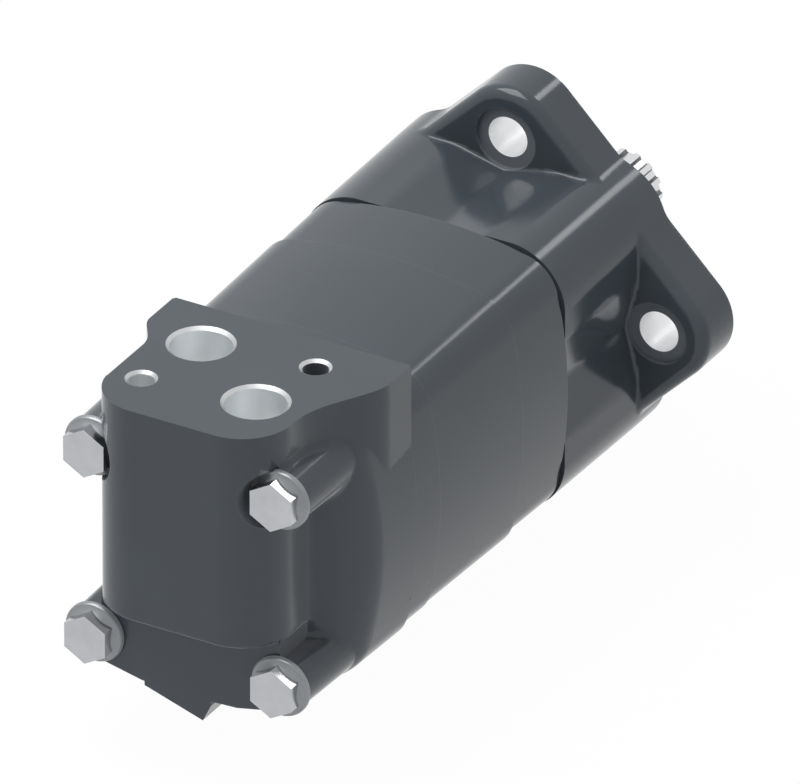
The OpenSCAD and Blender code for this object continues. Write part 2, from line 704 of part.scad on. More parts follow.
// Star: the path of the roller centres, moved in by the roller's radius
function path_point(t) = [roller_circle_r * cos(t) - orbit_e * cos(star_turn * t),
    roller_circle_r * sin(t) - orbit_e * sin(star_turn * t)];
function path_slope(t) = [-roller_circle_r * sin(t) + star_turn * orbit_e * sin(star_turn * t),
    roller_circle_r * cos(t) - star_turn * orbit_e * cos(star_turn * t)];
function inward(v) = [-v[1], v[0]] / norm(v);
function star_point(t) = path_point(t) + (roller_r + roller_gap) * inward(path_slope(t));
module star_outline() polygon([for (k = [0:star_points - 1]) star_point(360 * k / star_points)]);
module star() color(dark_steel) translate([orbit_e, 0, 0]) difference() {
    section(ring_at + roller_side_gap, ring_l - 2 * roller_side_gap) star_outline();
    section(ring_at - overcut, ring_l + 2 * overcut)
        spline_outline(drive_r, drive_teeth, drive_tooth_h, drive_gap);
}
module roller(k) color(steel) rotate([0, -360 * (k - 1) / rollers, 0]) translate([roller_circle_r, 0, 0])
    section(ring_at + roller_side_gap, ring_l - 2 * roller_side_gap) circle(roller_r);

// Splined drive between a point on the motor axis and the star's centre. Its teeth are crowned.
function tilt(on_axis_at, in_star_at) = atan(orbit_e / abs(in_star_at - on_axis_at));
module between(on_axis_at, in_star_at)
    translate([0, -on_axis_at, 0])
        rotate([0, 0, (in_star_at > on_axis_at ? 1 : -1) * tilt(on_axis_at, in_star_at)]) children();
module crowned(at, r, teeth, len) intersection() {
    section(at - len / 2, len) spline_outline(r, teeth, drive_tooth_h);
    translate([0, -at, 0]) sphere(sqrt(pow(r, 2) + pow(len / 2, 2)) - crown);
}
module main_drive() color(dark_steel) {
    reach = star_front_at - main_front_at;
    between(main_front_at, star_front_at) {
        crowned(0, drive_r, drive_teeth, drive_spline_len);
        crowned(reach, drive_r, drive_teeth, drive_spline_len);
        section(0, reach) circle(drive_r - drive_tooth_h - neck);
    }
}
module valve_drive() color(dark_steel) {
    reach = disc_pivot_at - valve_front_at;
    between(disc_pivot_at, valve_front_at) {
        crowned(0, valve_drive_r, valve_drive_teeth, disc_t - 2 * overcut);
        crowned(-reach, drive_r, drive_teeth, crown_len);
        section(-reach, reach) circle(valve_drive_r - drive_tooth_h - neck / 2);
    }
}
module drive_spacer() color(steel) {
    from = star_front_at + drive_spline_len / 2 + spacer_gap;
    to = valve_front_at - crown_len / 2 - spacer_gap;
    translate([orbit_e, 0, 0]) section(from, to - from) circle(spacer_r);
}

// Disc valve, balance ring and what presses them together
module disc_valve() color(dark_steel) difference() {
    section(disc_at, disc_t) circle(disc_d / 2);
    section(disc_at - overcut, disc_t + 2 * overcut)
        spline_outline(valve_drive_r, valve_drive_teeth, drive_tooth_h, drive_gap);
    for (k = [0:2 * lobes - 1]) rotate([0, 180 * k / lobes, 0]) translate([disc_port_circle_r, 0, 0])
        section(disc_at - overcut, (k % 2 == 0 ? disc_t : disc_t / 2) + 2 * overcut) circle(disc_slot_r);
}
module balance_ring() color(bronze) difference() {
    rim_end = balance_at + balance_rim_t;
    turned() polygon([[balance_hole_r, balance_at], [balance_r, balance_at], [balance_r, rim_end],
        [balance_step_r, rim_end], [balance_step_r, balance_end], [balance_hole_r, balance_end]]);
    collar(face_seal_at, face_seal_w, balance_step_r + overcut, balance_step_r - face_seal_sink);
    collar(balance_end - face_seal_w, face_seal_w + overcut, balance_hole_r + face_seal_w, 0);
    at_springs() section(balance_end - spring_socket, spring_socket + overcut) circle(spring_r + spring_gap);
    at_pins() section(balance_end - pin_socket, pin_socket + overcut) circle(pin_r + run_gap);
}
module at_springs()
    for (k = [0:springs - 1]) rotate([0, 360 * k / springs, 0]) translate([spring_circle_r, 0, 0]) children();
module at_pins() for (turn = [45, 225]) rotate([0, turn, 0]) translate([pin_circle_r, 0, 0]) children();
module outer_face_seal() color(rubber)
    collar(face_seal_at + run_gap, face_seal_w - 2 * run_gap, balance_step_r + step_gap,
        balance_step_r - face_seal_sink + run_gap);
module inner_face_seal() color(rubber)
    collar(balance_end - face_seal_w, face_seal_w, balance_hole_r + face_seal_w - run_gap, balance_hole_r);
module balance_springs() color(steel) at_springs()
    coil_spring(balance_end - spring_socket, cavity_end, spring_r - spring_wire_r);
module balance_pins() color(steel) at_pins()
    section(balance_end - pin_socket, cavity_end - balance_end + 2 * pin_socket) circle(pin_r);

bearing_housing();
wear_plate();
roller_ring();
valve_plate();
valve_housing();
tie_screws();
output_shaft();
dust_seal();
shaft_seal();
seal_washer();
front_bearing_cup();
front_bearing_cone();
front_bearing_rollers();
front_bearing_cage();
rear_bearing_cup();
rear_bearing_cone();
rear_bearing_rollers();
rear_bearing_cage();
bearing_nut();
thrust_washer();
housing_seal();
wear_plate_seal();
valve_plate_seal();
valve_housing_seal();
star();
roller(1);  // roller_1
roller(2);  // roller_2
roller(3);  // roller_3
roller(4);  // roller_4
roller(5);  // roller_5
roller(6);  // roller_6
roller(7);  // roller_7
main_drive();
valve_drive();
drive_spacer();
disc_valve();
balance_ring();
outer_face_seal();
inner_face_seal();
balance_springs();
balance_pins();
case_check_ball();
case_check_seat();
case_check_spring();
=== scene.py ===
"""The looks of a disc-valve orbital motor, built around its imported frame.

The shaft lies along Y and points to +Y, and the port face looks up. Shapes are worked out in
millimetres and go into the meshes in metres. "Depth" is the distance behind the mounting face.
"""
import json
import math

import bpy
import numpy as np
from mathutils import Matrix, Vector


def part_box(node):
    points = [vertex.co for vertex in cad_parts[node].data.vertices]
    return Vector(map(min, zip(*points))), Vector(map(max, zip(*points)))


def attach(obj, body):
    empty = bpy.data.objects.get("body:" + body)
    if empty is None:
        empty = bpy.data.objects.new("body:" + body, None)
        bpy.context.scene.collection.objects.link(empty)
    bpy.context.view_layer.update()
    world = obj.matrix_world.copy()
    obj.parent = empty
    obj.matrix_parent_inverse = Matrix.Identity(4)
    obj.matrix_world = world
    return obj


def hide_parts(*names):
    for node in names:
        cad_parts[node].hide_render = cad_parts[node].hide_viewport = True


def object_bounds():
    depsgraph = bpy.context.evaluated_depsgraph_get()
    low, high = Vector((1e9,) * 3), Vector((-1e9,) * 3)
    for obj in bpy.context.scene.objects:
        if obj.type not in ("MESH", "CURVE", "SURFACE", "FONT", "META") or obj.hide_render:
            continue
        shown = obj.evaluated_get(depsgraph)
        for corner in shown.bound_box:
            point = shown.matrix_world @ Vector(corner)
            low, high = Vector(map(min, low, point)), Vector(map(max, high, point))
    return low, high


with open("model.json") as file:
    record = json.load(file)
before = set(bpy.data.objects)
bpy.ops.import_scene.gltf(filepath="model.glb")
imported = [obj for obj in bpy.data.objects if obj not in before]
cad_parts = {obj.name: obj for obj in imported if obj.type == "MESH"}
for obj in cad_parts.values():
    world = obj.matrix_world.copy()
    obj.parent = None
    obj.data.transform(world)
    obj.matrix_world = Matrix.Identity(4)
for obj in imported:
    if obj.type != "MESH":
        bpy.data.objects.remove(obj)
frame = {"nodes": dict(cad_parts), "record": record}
cad_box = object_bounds()

MM = 0.001
COARSE = 1.0
# How far a bore's polygon runs past the face that it opens in
OVERCUT = 9


def reach(node, axis, end):
    """Lowest (end 0) or highest (end 1) coordinate of a CAD node, in millimetres."""
    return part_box(node)[end][axis] / MM


mounts = {m["name"]: m for m in frame["record"]["mounts"]}


def place_mm(name):
    """Place of a mount, in millimetres."""
    return [c / MM for c in mounts[name]["pos_m"]]


# Depths of the joints between the sections, from the frame
WEAR_AT = -reach("wear_plate", 1, 1)
RING_AT = -reach("roller_ring", 1, 1)
PLATE_AT = -reach("valve_plate", 1, 1)
VALVE_AT = -reach("valve_housing", 1, 1)
REAR_AT = -reach("valve_housing", 1, 0)
SEAT_STEP = 10.8
SEAT_AT = REAR_AT - SEAT_STEP
BARREL_TAIL = 28.5
BARREL_END = VALVE_AT + BARREL_TAIL
PORT_FACE_Z = reach("valve_housing", 2, 1)
PILOT_H = reach("bearing_housing", 1, 1)

# Flange and bearing housing
LUG_CIRCLE_R = mounts["flange"]["dims"]["pcd_mm"] / 2
FLANGE_HOLE_R = mounts["flange"]["dims"]["hole_r_mm"]
PILOT_R = mounts["pilot"]["dims"]["r_mm"]
LUG_R = reach("bearing_housing", 0, 1) - LUG_CIRCLE_R
LUG_T = 17.6
SPOT_R = 10.5
SPOT_DEPTH = 1.5
HOUSING_HALF = 46.6
HOUSING_CORNER_R = 20
HOLLOW_HALF_W = 17.6
HOLLOW_DEPTH = 4.4
SEAM_W = 1
SEAM_DEPTH = 1.6
LUG_EDGE_R = 3.6
LUG_ROOT_R = 1.1
HOLLOW_EDGE_R = 0.9
BORE_R = 25
SEAL_POCKET_R = 27
SEAL_POCKET_AT = 9
BEARING_R = 35
BEARING_AT = 14
SHOULDER_R = 31.9
SHOULDER_SPAN = (28.5, 40.5)

# Barrel sections
BARREL_HALF = reach("roller_ring", 0, 1)
BARREL_SIDE_R = 154.6
BARREL_CORNER_R = 14.5
PLATE_INSET = 0.7
WEAR_INSET = 0.35
DRAFT = math.tan(math.radians(1.4))
WEAR_BORE_R = 15
WASHER_POCKET_R = 26
WASHER_POCKET_DEPTH = 5.8
ROLLERS = 7
ROLLER_CIRCLE_R = 30.5
ROLLER_POCKET_R = 6.45
RING_BORE_R = 31.1
PLATE_BORE_R = 13
PLATE_PORT_R = 3
PLATE_PORT_CIRCLE_R = 23.5

# Valve housing
PORT_Y = place_mm("port_pad")[1]
BLOCK_LEFT = 31.2
BLOCK_RIGHT = 32.2
BLOCK_CORNER_R = 17
BLOCK_DROP = 18.6
COVE_FOOT_X = 31.6
WAIST_INSET = 0.5
WAIST_LAP = 1
CORE_START = BARREL_END - 1
FILLET_FADE = 6
SECTION_LIP = 0.4
SKIRT_HALF = 33.3
LEDGE_DROP = 24.6
SKIRT_DROP = 46.2
SKIRT_RISE = (4.4, 0.8)
GALLERY_X = (-15.7, 4.7, 7.5)
GALLERY_DROP = (0.7, 7.1, 1.3)
GALLERY_ROOT = 6
COVE_RUN = 10.2
PAD_ROOT_Z = 22
EAR_LEFT = 37.3
EAR_RIGHT = 45.5
EAR_LEFT_RUN = (3.5, 16.5)
EAR_RIGHT_RUN = (-17.8, 19)
BOSS_R = 8.9
BLOCK_EDGE_R = 0.9
BODY_ROOT_R = 2.6
COVE_ROOT_R = 2
COVE_EDGE_R = 8
LEDGE_EDGE_R = 0.5
EAR_LAG = 1.25
EAR_OVERLAP = 0.5
CAVITY_R = 29.5
CAVITY_STEP_R = 22.25
CAVITY_STEP_AT = VALVE_AT + 18.2
CAVITY_END = VALVE_AT + 31.2
CHECK_X = -4
CHECK_AT = CAVITY_END - 5
CHECK_R = 3.9
CHECK_END_Z = -38.24
CROSS_Z = 8
CROSS_R = 3
PORT_R = mounts["port_a"]["dims"]["r_mm"]
PORT_CHAMFER = 1.05
PORT_DEPTH = 16
SMALL_R = mounts["case_drain"]["dims"]["r_mm"]
SMALL_CHAMFER = 0.95
SMALL_DEPTH = 12
GALLERY_R = 4.5
DRAIN_GALLERY_R = 3

# Tie screws
SCREW_FLANGE_R = 9.95
SCREW_AT = (reach("tie_screws", 0, 1) - reach("tie_screws", 0, 0)) / 2 - SCREW_FLANGE_R
SCREW_TIP_AT = -reach("tie_screws", 1, 1)
SCREW_R = 4.75
SCREW_HOLE_R = 5
SCREW_FLANGE_T = 2
SCREW_AF = 14.3
SCREW_HEX_H = 5.2
SCREW_CONE_H = 1.7
SCREW_CONE_POWER = 1.6
RELIEF_R = 10.2

# Output shaft
SPLINE_TEETH = 15
SPLINE_END = 8
SPLINE_ROOT_R = 11.2
SPLINE_TOOTH_H = 1.5
JOURNAL_R = 16
JOURNAL_AT = -5
BEARING_SEAT_R = 17.5
HEAD_L = 12
SOCKET_TEETH = 12
SOCKET_R = 10.5
SOCKET_TOOTH_H = 2
SOCKET_FLOOR = 10
TOOTH_LAND = 0.36
TOOTH_SLOPE = 0.08


# Distance fields: each is negative inside, in millimetres, and its parts are whole arrays

def round_box(a, b, half_a, half_b, r):
    """A rectangle with round corners: the distance to the inner rectangle, less the radius."""
    qa = np.abs(a) - (half_a - r)
    qb = np.abs(b) - (half_b - r)
    return np.hypot(np.maximum(qa, 0), np.maximum(qb, 0)) + np.minimum(np.maximum(qa, qb), 0) - r


def round_meet(a, b, r):
    """What two forms share, with a round of radius r along the edge where they meet."""
    return np.minimum(np.maximum(a, b), -r) + np.hypot(np.maximum(a + r, 0), np.maximum(b + r, 0))


def round_join(a, b, r):
    """Two forms as one, with a fillet of radius r along the corner where they meet."""
    return np.maximum(np.minimum(a, b), r) - np.hypot(np.maximum(r - a, 0), np.maximum(r - b, 0))


def polygon(points, a, b):
    """A closed polygon: the least distance to its edges. A point is inside if a ray from it
    crosses the edges an odd number of times."""
    least, inside = np.inf, False
    for (p0, p1), (q0, q1) in zip(points, points[1:] + points[:1]):
        e0, e1 = q0 - p0, q1 - p1
        t = np.clip(((a - p0) * e0 + (b - p1) * e1) / (e0 * e0 + e1 * e1), 0, 1)
        least = np.minimum(least, (a - p0 - e0 * t) ** 2 + (b - p1 - e1 * t) ** 2)
        if e1 != 0:
            inside = inside ^ (((p1 > b) != (q1 > b)) & (a < e0 * (b - p1) / e1 + p0))
    return np.where(inside, -1, 1) * np.sqrt(least)


def half_planes(points, a, b):
    """The sides of a convex polygon that runs clockwise, as one distance to each side's line."""
    fields = []
    for (p0, p1), (q0, q1) in zip(points, points[1:] + points[:1]):
        run = math.hypot(q0 - p0, q1 - p1)
        fields.append(((b - p1) * (q0 - p0) - (a - p0) * (q1 - p1)) / run)
    return fields


def highest(fields):
    """What several forms share: the greatest of their distances."""
    whole = fields[0]
    for field in fields[1:]:
        whole = np.maximum(whole, field)
    return whole


def barrel(x, z):
    """The barrel's outline: the distance to the side's long arc, or past the line through both
    centres, to the corner's arc."""
    low, high = np.minimum(np.abs(x), np.abs(z)), np.maximum(np.abs(x), np.abs(z))
    centre = BARREL_SIDE_R - BARREL_HALF
    corner = (math.sqrt(2 * (BARREL_SIDE_R - BARREL_CORNER_R) ** 2 - centre ** 2) - centre) / 2
    side = np.hypot(low, high + centre) - BARREL_SIDE_R
    round_corner = np.hypot(low - corner, high - corner) - BARREL_CORNER_R
    return np.where(low * (corner + centre) > (high + centre) * corner, round_corner, side)


def screw_distance(x, z):
    """Distance to the nearest tie screw's axis."""
    return np.hypot(np.abs(x) - SCREW_AT, np.abs(z) - SCREW_AT)


def spoke_distance(x, z, radius, shift):
    """Distance to the nearest of the points that lie evenly on a circle, one for each roller."""
    step = 2 * math.pi / ROLLERS
    angle = np.arctan2(z, x) - shift * step
    angle = angle - step * np.round(angle / step)
    along = np.hypot(x, z)
    return np.hypot(along * np.cos(angle) - radius, along * np.sin(angle))


# Castings. Each function gives the whole form, and the smooth parts that its surface is made of,
# by their finish: painted, bored, machined seats under thin paint, bright cut edges, port bores.
# The bores, seats and port bores are paler than their metal or paint: painted light in their shade.
# They blend several outlines into one another and are pierced by bores, which one grid of two
# parameters can't give, so their surface is found in a grid of cells.

def bearing_housing(x, y, z):
    """The square body with its four V-shaped hollows, joined to the flange by a fillet, plus the
    pilot, less the holes, the seats behind them, the seam groove and the bearing bores."""
    depth = -y
    along, across = np.maximum(np.abs(x), np.abs(z)), np.minimum(np.abs(x), np.abs(z))
    slope = HOLLOW_DEPTH / HOLLOW_HALF_W
    flank = along - (HOUSING_HALF - HOLLOW_DEPTH) - np.hypot(across, 1) * slope
    flank = flank / math.hypot(1, slope)
    square = round_box(x, z, HOUSING_HALF, HOUSING_HALF, HOUSING_CORNER_R)
    body = round_meet(square, flank, HOLLOW_EDGE_R) + DRAFT / 2 * np.maximum(depth - LUG_T / 2, 0)
    half = LUG_CIRCLE_R / math.sqrt(2) + LUG_R
    flange = round_box((x + z) / math.sqrt(2), (x - z) / math.sqrt(2), half, half, LUG_R)
    flange = round_meet(flange, depth - LUG_T, LUG_EDGE_R)
    cast = round_join(body, flange, LUG_ROOT_R)
    front = -depth
    pilot_side = np.hypot(x, z) - PILOT_R
    pilot_face = -depth - PILOT_H
    seam_face = depth - (WEAR_AT - SEAM_W)
    seam_floor = barrel(x, z) + SEAM_DEPTH
    rear = depth - WEAR_AT
    to_hole = np.hypot(along - LUG_CIRCLE_R, across)
    hole = FLANGE_HOLE_R - to_hole
    spot = SPOT_R - to_hole
    spot_floor = depth - (LUG_T - SPOT_DEPTH)
    screw = SCREW_HOLE_R - screw_distance(x, z)
    screw_end = depth - SCREW_TIP_AT
    bore = -polygon([(-1, -PILOT_H - OVERCUT), (BORE_R, -PILOT_H - OVERCUT), (BORE_R, SEAL_POCKET_AT),
                     (SEAL_POCKET_R, SEAL_POCKET_AT), (SEAL_POCKET_R, BEARING_AT),
                     (BEARING_R, BEARING_AT), (BEARING_R, SHOULDER_SPAN[0]),
                     (SHOULDER_R, SHOULDER_SPAN[0]), (SHOULDER_R, SHOULDER_SPAN[1]),
                     (BEARING_R, SHOULDER_SPAN[1]), (BEARING_R, WEAR_AT + OVERCUT),
                     (-1, WEAR_AT + OVERCUT)], np.hypot(x, z), depth)
    whole = np.minimum(np.maximum(cast, front), np.maximum(pilot_side, pilot_face))
    whole = np.maximum(np.maximum(whole, rear), np.minimum(seam_face, seam_floor))
    whole = np.maximum(np.maximum(whole, hole), np.minimum(spot, spot_floor))
    whole = np.maximum(np.maximum(whole, bore), np.minimum(screw, screw_end))
    painted = [cast, front, pilot_side, pilot_face, seam_face, seam_floor]
    return whole, [painted, [rear, hole, bore, screw, screw_end], [spot, spot_floor], []]


def section(x, y, z, at, end, inset, holes):
    """One section of the barrel: its outline, set back by the inset and with a slight draft
    towards the rear, between two flat faces, less its holes and the tie screws' holes."""
    depth = -y
    side = barrel(x, z) + inset + DRAFT * np.maximum(depth - at, 0)
    front, rear = at - depth, depth - end
    screw = SCREW_HOLE_R - screw_distance(x, z)
    whole = np.maximum(np.maximum(side, front), np.maximum(rear, screw))
    for hole in holes:
        whole = np.maximum(whole, hole)
    return whole, [[side], [front, rear, screw] + holes, [], []]


def wear_plate(x, y, z):
    """The wear plate, with the pocket for the thrust washer in its front face."""
    radius = np.hypot(x, z)
    pocket = np.minimum(WASHER_POCKET_R - radius, WEAR_AT + WASHER_POCKET_DEPTH + y)
    return section(x, y, z, WEAR_AT, RING_AT, WEAR_INSET, [WEAR_BORE_R - radius, pocket])


def roller_ring(x, y, z):
    """The ring that holds the rollers: a bore and one round pocket for each roller."""
    pocket = ROLLER_POCKET_R - spoke_distance(x, z, ROLLER_CIRCLE_R, 0)
    bore = np.maximum(RING_BORE_R - np.hypot(x, z), pocket)
    return section(x, y, z, RING_AT, PLATE_AT, 0, [bore])


def valve_plate(x, y, z):
    """The plate between ring and valve, with one passage between each two rollers."""
    passage = PLATE_PORT_R - spoke_distance(x, z, PLATE_PORT_CIRCLE_R, 0.5)
    return section(x, y, z, PLATE_AT, VALVE_AT, PLATE_INSET, [PLATE_BORE_R - np.hypot(x, z), passage])


def flare(y, start, end, run, lag):
    """Half width of the port pad on one side: a smooth step from start to end over the run's two
    places, which sets off more slowly with a greater lag."""
    t = np.clip((y - PORT_Y - run[0]) / (run[1] - run[0]), 0, 1) ** lag
    return start + (end - start) * t * t * (3 - 2 * t)


def valve_housing(x, y, z):
    """The barrel section with its slanting rear end, the upright block, the port pad with its
    ears, the four screw bosses, of which the lower two have a flat ledge, and the skirt with the
    gallery's pad, joined by fillets that fade out at the barrel section, less the bores. The
    front face is painted on the ears, from just inside the outline outwards, or else bored."""
    depth = -y
    outline = barrel(x, z) + DRAFT * (depth - VALVE_AT)
    slant = ((np.abs(x) - BARREL_HALF) * COVE_RUN + (depth - BARREL_END) * (BARREL_HALF - COVE_FOOT_X))
    slant = slant / math.hypot(COVE_RUN, BARREL_HALF - COVE_FOOT_X)
    section_end = round_meet(outline, slant, COVE_EDGE_R)
    under = -z - SKIRT_DROP + SECTION_LIP
    section_end = np.maximum(section_end, np.minimum(under, depth - BARREL_END))
    middle, half = (BLOCK_RIGHT - BLOCK_LEFT) / 2, (BLOCK_RIGHT + BLOCK_LEFT) / 2
    long_half = (REAR_AT - VALVE_AT) / 2 + BLOCK_CORNER_R
    plan = round_box(x - middle, depth - REAR_AT + long_half, half, long_half, BLOCK_CORNER_R)
    block = round_meet(plan, -z - BLOCK_DROP, BLOCK_EDGE_R)
    pad_right = x - flare(y, BLOCK_RIGHT, EAR_RIGHT, EAR_RIGHT_RUN, EAR_LAG)
    pad_left = -x - flare(y, BLOCK_LEFT, EAR_LEFT, EAR_LEFT_RUN, 1)
    pad_back = BLOCK_CORNER_R - REAR_AT - y
    pad_floor = PAD_ROOT_Z - z
    core = np.minimum(block, highest([pad_right, pad_left, pad_back, pad_floor]))
    blend = np.clip((depth - CORE_START) / FILLET_FADE, 0, 1)
    boss = screw_distance(x, z) - BOSS_R + DRAFT * (depth - SEAT_AT)
    boss = np.where(z < 0, round_meet(boss, z + LEDGE_DROP, LEDGE_EDGE_R), boss)
    boss = np.maximum(boss, depth - SEAT_AT)
    cast = round_join(round_join(core, boss, BODY_ROOT_R * blend), section_end, COVE_ROOT_R * blend)
    side_z, knee_z = SKIRT_RISE[0] - SKIRT_DROP, SKIRT_RISE[1] - SKIRT_DROP
    skirt = half_planes([(-SKIRT_HALF, -LEDGE_DROP), (SKIRT_HALF, -LEDGE_DROP), (SKIRT_HALF, side_z),
                         (SKIRT_HALF / 2, knee_z), (0, -SKIRT_DROP), (-SKIRT_HALF / 2, knee_z),
                         (-SKIRT_HALF, side_z)], x, z)
    root = GALLERY_ROOT - SKIRT_DROP
    slope = half_planes([(GALLERY_X[0], root), (GALLERY_X[2], root),
                         (GALLERY_X[2], -SKIRT_DROP - GALLERY_DROP[2]),
                         (GALLERY_X[1], -SKIRT_DROP - GALLERY_DROP[1]),
                         (GALLERY_X[0], -SKIRT_DROP - GALLERY_DROP[0])], x, z)
    start = CORE_START - depth
    waist = [x - BLOCK_RIGHT + WAIST_INSET, WAIST_INSET - x - BLOCK_LEFT,
             -z - LEDGE_DROP - WAIST_LAP, z + BLOCK_DROP - BLOCK_EDGE_R / 2]
    body = np.minimum(cast, highest(skirt + [start]))
    body = np.minimum(body, highest(slope + [start]))
    body = np.minimum(body, highest(waist + [start]))
    seat = depth - SEAT_AT
    front = VALVE_AT - depth
    top = z - PORT_FACE_Z
    relief = RELIEF_R - screw_distance(x, z)
    screw = SCREW_HOLE_R - screw_distance(x, z)
    whole = np.maximum(np.maximum(body, np.minimum(seat, block)), np.maximum(front, top))
    whole = np.maximum(np.maximum(whole, np.minimum(relief, seat)), screw)
    radius = np.hypot(x, z)
    cavity = -polygon([(-1, VALVE_AT - OVERCUT), (CAVITY_R, VALVE_AT - OVERCUT),
                       (CAVITY_R, CAVITY_STEP_AT), (CAVITY_STEP_R, CAVITY_STEP_AT),
                       (CAVITY_STEP_R, CAVITY_END), (-1, CAVITY_END)], radius, depth)
    check = np.hypot(x - CHECK_X, depth - CHECK_AT)
    passage = np.minimum(CHECK_R - check, np.minimum(-z, z - CHECK_END_Z))
    bare, dark, edges, holes = [], [], [], []
    for name, r, chamfer, deep, duct_r in (
            ("port_a", PORT_R, PORT_CHAMFER, PORT_DEPTH, GALLERY_R),
            ("port_b", PORT_R, PORT_CHAMFER, PORT_DEPTH, GALLERY_R),
            ("pad_screw_hole", SMALL_R, SMALL_CHAMFER, SMALL_DEPTH, 0),
            ("case_drain", SMALL_R, SMALL_CHAMFER, SMALL_DEPTH, DRAIN_GALLERY_R)):
        px, py, _ = place_mm(name)
        off = np.hypot(x - px, y - py)
        wall, floor = r - off, z - (PORT_FACE_Z - deep)
        cone = (r + chamfer - off - (PORT_FACE_Z - z)) / math.sqrt(2)
        holes += [np.minimum(wall, floor), cone]
        if duct_r:
            holes.append(np.minimum(duct_r - off, z - CROSS_Z))
            dark.append(duct_r - off)
        (dark if name == "case_drain" else bare).extend([wall, floor])
        edges.append(cone)
    cross = np.minimum(CROSS_R - np.hypot(x - place_mm("port_b")[0], z - CROSS_Z),
                       np.minimum(depth - CAVITY_END, -place_mm("port_b")[1] - depth))
    for hole in holes + [cavity, passage, cross]:
        whole = np.maximum(whole, hole)
    pad_front = np.where(outline > -EAR_OVERLAP, front, BARREL_HALF)
    painted = [cast, block, pad_right, pad_left, pad_back, pad_floor, pad_front, top, start, seat]
    return whole, [painted + skirt + slope + waist + dark, [front, screw, cavity, passage, cross],
                   [relief], edges, bare]


def steps(low, high, size, planes=()):
    """Grid lines from low to high, about size apart, with some margin, and half a step to each
    side of every named plane."""
    size = size * COARSE
    margin = 2.3 * size
    stops = sorted([low - margin, *planes, high + margin])
    lines = [np.array([stops[0]])]
    for a, b in zip(stops[:-1], stops[1:]):
        count = max(1, round((b - a) / size))
        lines.append(a + (b - a) * (np.arange(count) + 0.5) / count)
    return np.unique(np.concatenate(lines))


def parts_at(solid, p):
    """The whole form and every part at the points, one row each."""
    whole, finishes = solid(*p)
    return np.stack([np.broadcast_to(f, p.shape[1]) for f in [whole] + sum(finishes, [])])


def slopes(solid, p, eps=0.01):
    """Value of every part at the points, and its slope from a small step along each axis."""
    value = parts_at(solid, p)
    slope = np.empty((len(value), 3, p.shape[1]))
    for axis in range(3):
        shift = np.zeros((3, 1))
        shift[axis] = eps
        slope[:, axis] = (parts_at(solid, p + shift) - parts_at(solid, p - shift)) / (2 * eps)
    return value, slope


# Millimetres: a step across a crease, how far off a point may end, and what counts as equal
CREASE_PROBE = 0.05
ON_SURFACE = 0.02
SAME = 1e-6

# Shares of a cell: how far a crease is looked for, and how far outside it a point may end
CREASE_SPAN = 1.4
CREASE_MARGIN = 0.12


def active_parts(solid, p, low, high):
    """Which parts give the whole form at a point or at any corner of its cell."""
    value = parts_at(solid, p)
    active = np.abs(value[1:] - value[0]) < SAME
    for corner in range(8):
        side = np.array([[corner & 1], [corner >> 1 & 1], [corner >> 2]])
        value = parts_at(solid, np.where(side == 1, high, low))
        active |= np.abs(value[1:] - value[0]) < SAME
    return active


def nearest_crease(solid, p, low, high, active, count):
    """Moves each point to where its two (or three) nearest active parts meet, by Newton steps on
    all of them at once, if that place is on the surface and within the point's own cell. The
    crease is real if the form lies on the same side of it a small step either way across it."""
    value = parts_at(solid, p)
    order = np.argsort(np.where(active, np.abs(value[1:]), 99), axis=0)[:count] + 1
    size = (high - low).max(axis=0)
    near = np.abs(np.take_along_axis(value, order, 0)).max(axis=0) < CREASE_SPAN * size
    chosen = np.nonzero(near & (active.sum(axis=0) >= count))[0]
    q, pick = p[:, chosen], order[:, chosen]
    for _ in range(4):
        value, slope = slopes(solid, q)
        f = np.take_along_axis(value, pick, 0)
        g = np.take_along_axis(slope, pick[:, None, :], 0)
        gram = np.einsum("iak,jak->kij", g, g) + 1e-4 * np.eye(count)
        weight = np.linalg.solve(gram, f.T[:, :, None])[:, :, 0]
        q = q - np.clip(np.einsum("iak,ki->ak", g, weight), -1, 1)
    value, slope = slopes(solid, q)
    margin = CREASE_MARGIN * (high - low)[:, chosen]
    good = ((q > low[:, chosen] - margin) & (q < high[:, chosen] + margin)).all(axis=0)
    good &= np.abs(value[0]) < ON_SURFACE
    good &= np.abs(np.take_along_axis(value, pick, 0)).max(axis=0) < ON_SURFACE
    normal = np.take_along_axis(slope, pick[:, None, :], 0)
    real = np.zeros(q.shape[1], int)
    for i, j in ((0, 1), (0, 2), (1, 2))[:2 * count - 3]:
        side = normal[i] - normal[j]
        length = np.linalg.norm(side, axis=0)
        side = side * (CREASE_PROBE / np.maximum(length, 1e-6))
        one, other = solid(*(q + side))[0], solid(*(q - side))[0]
        real += (length > 0.1) & (one * other > 0)
    good &= real >= count - 1
    moved = p.copy()
    moved[:, chosen[good]] = q[:, good]
    hit = np.zeros(p.shape[1], bool)
    hit[chosen[good]] = True
    return moved, hit


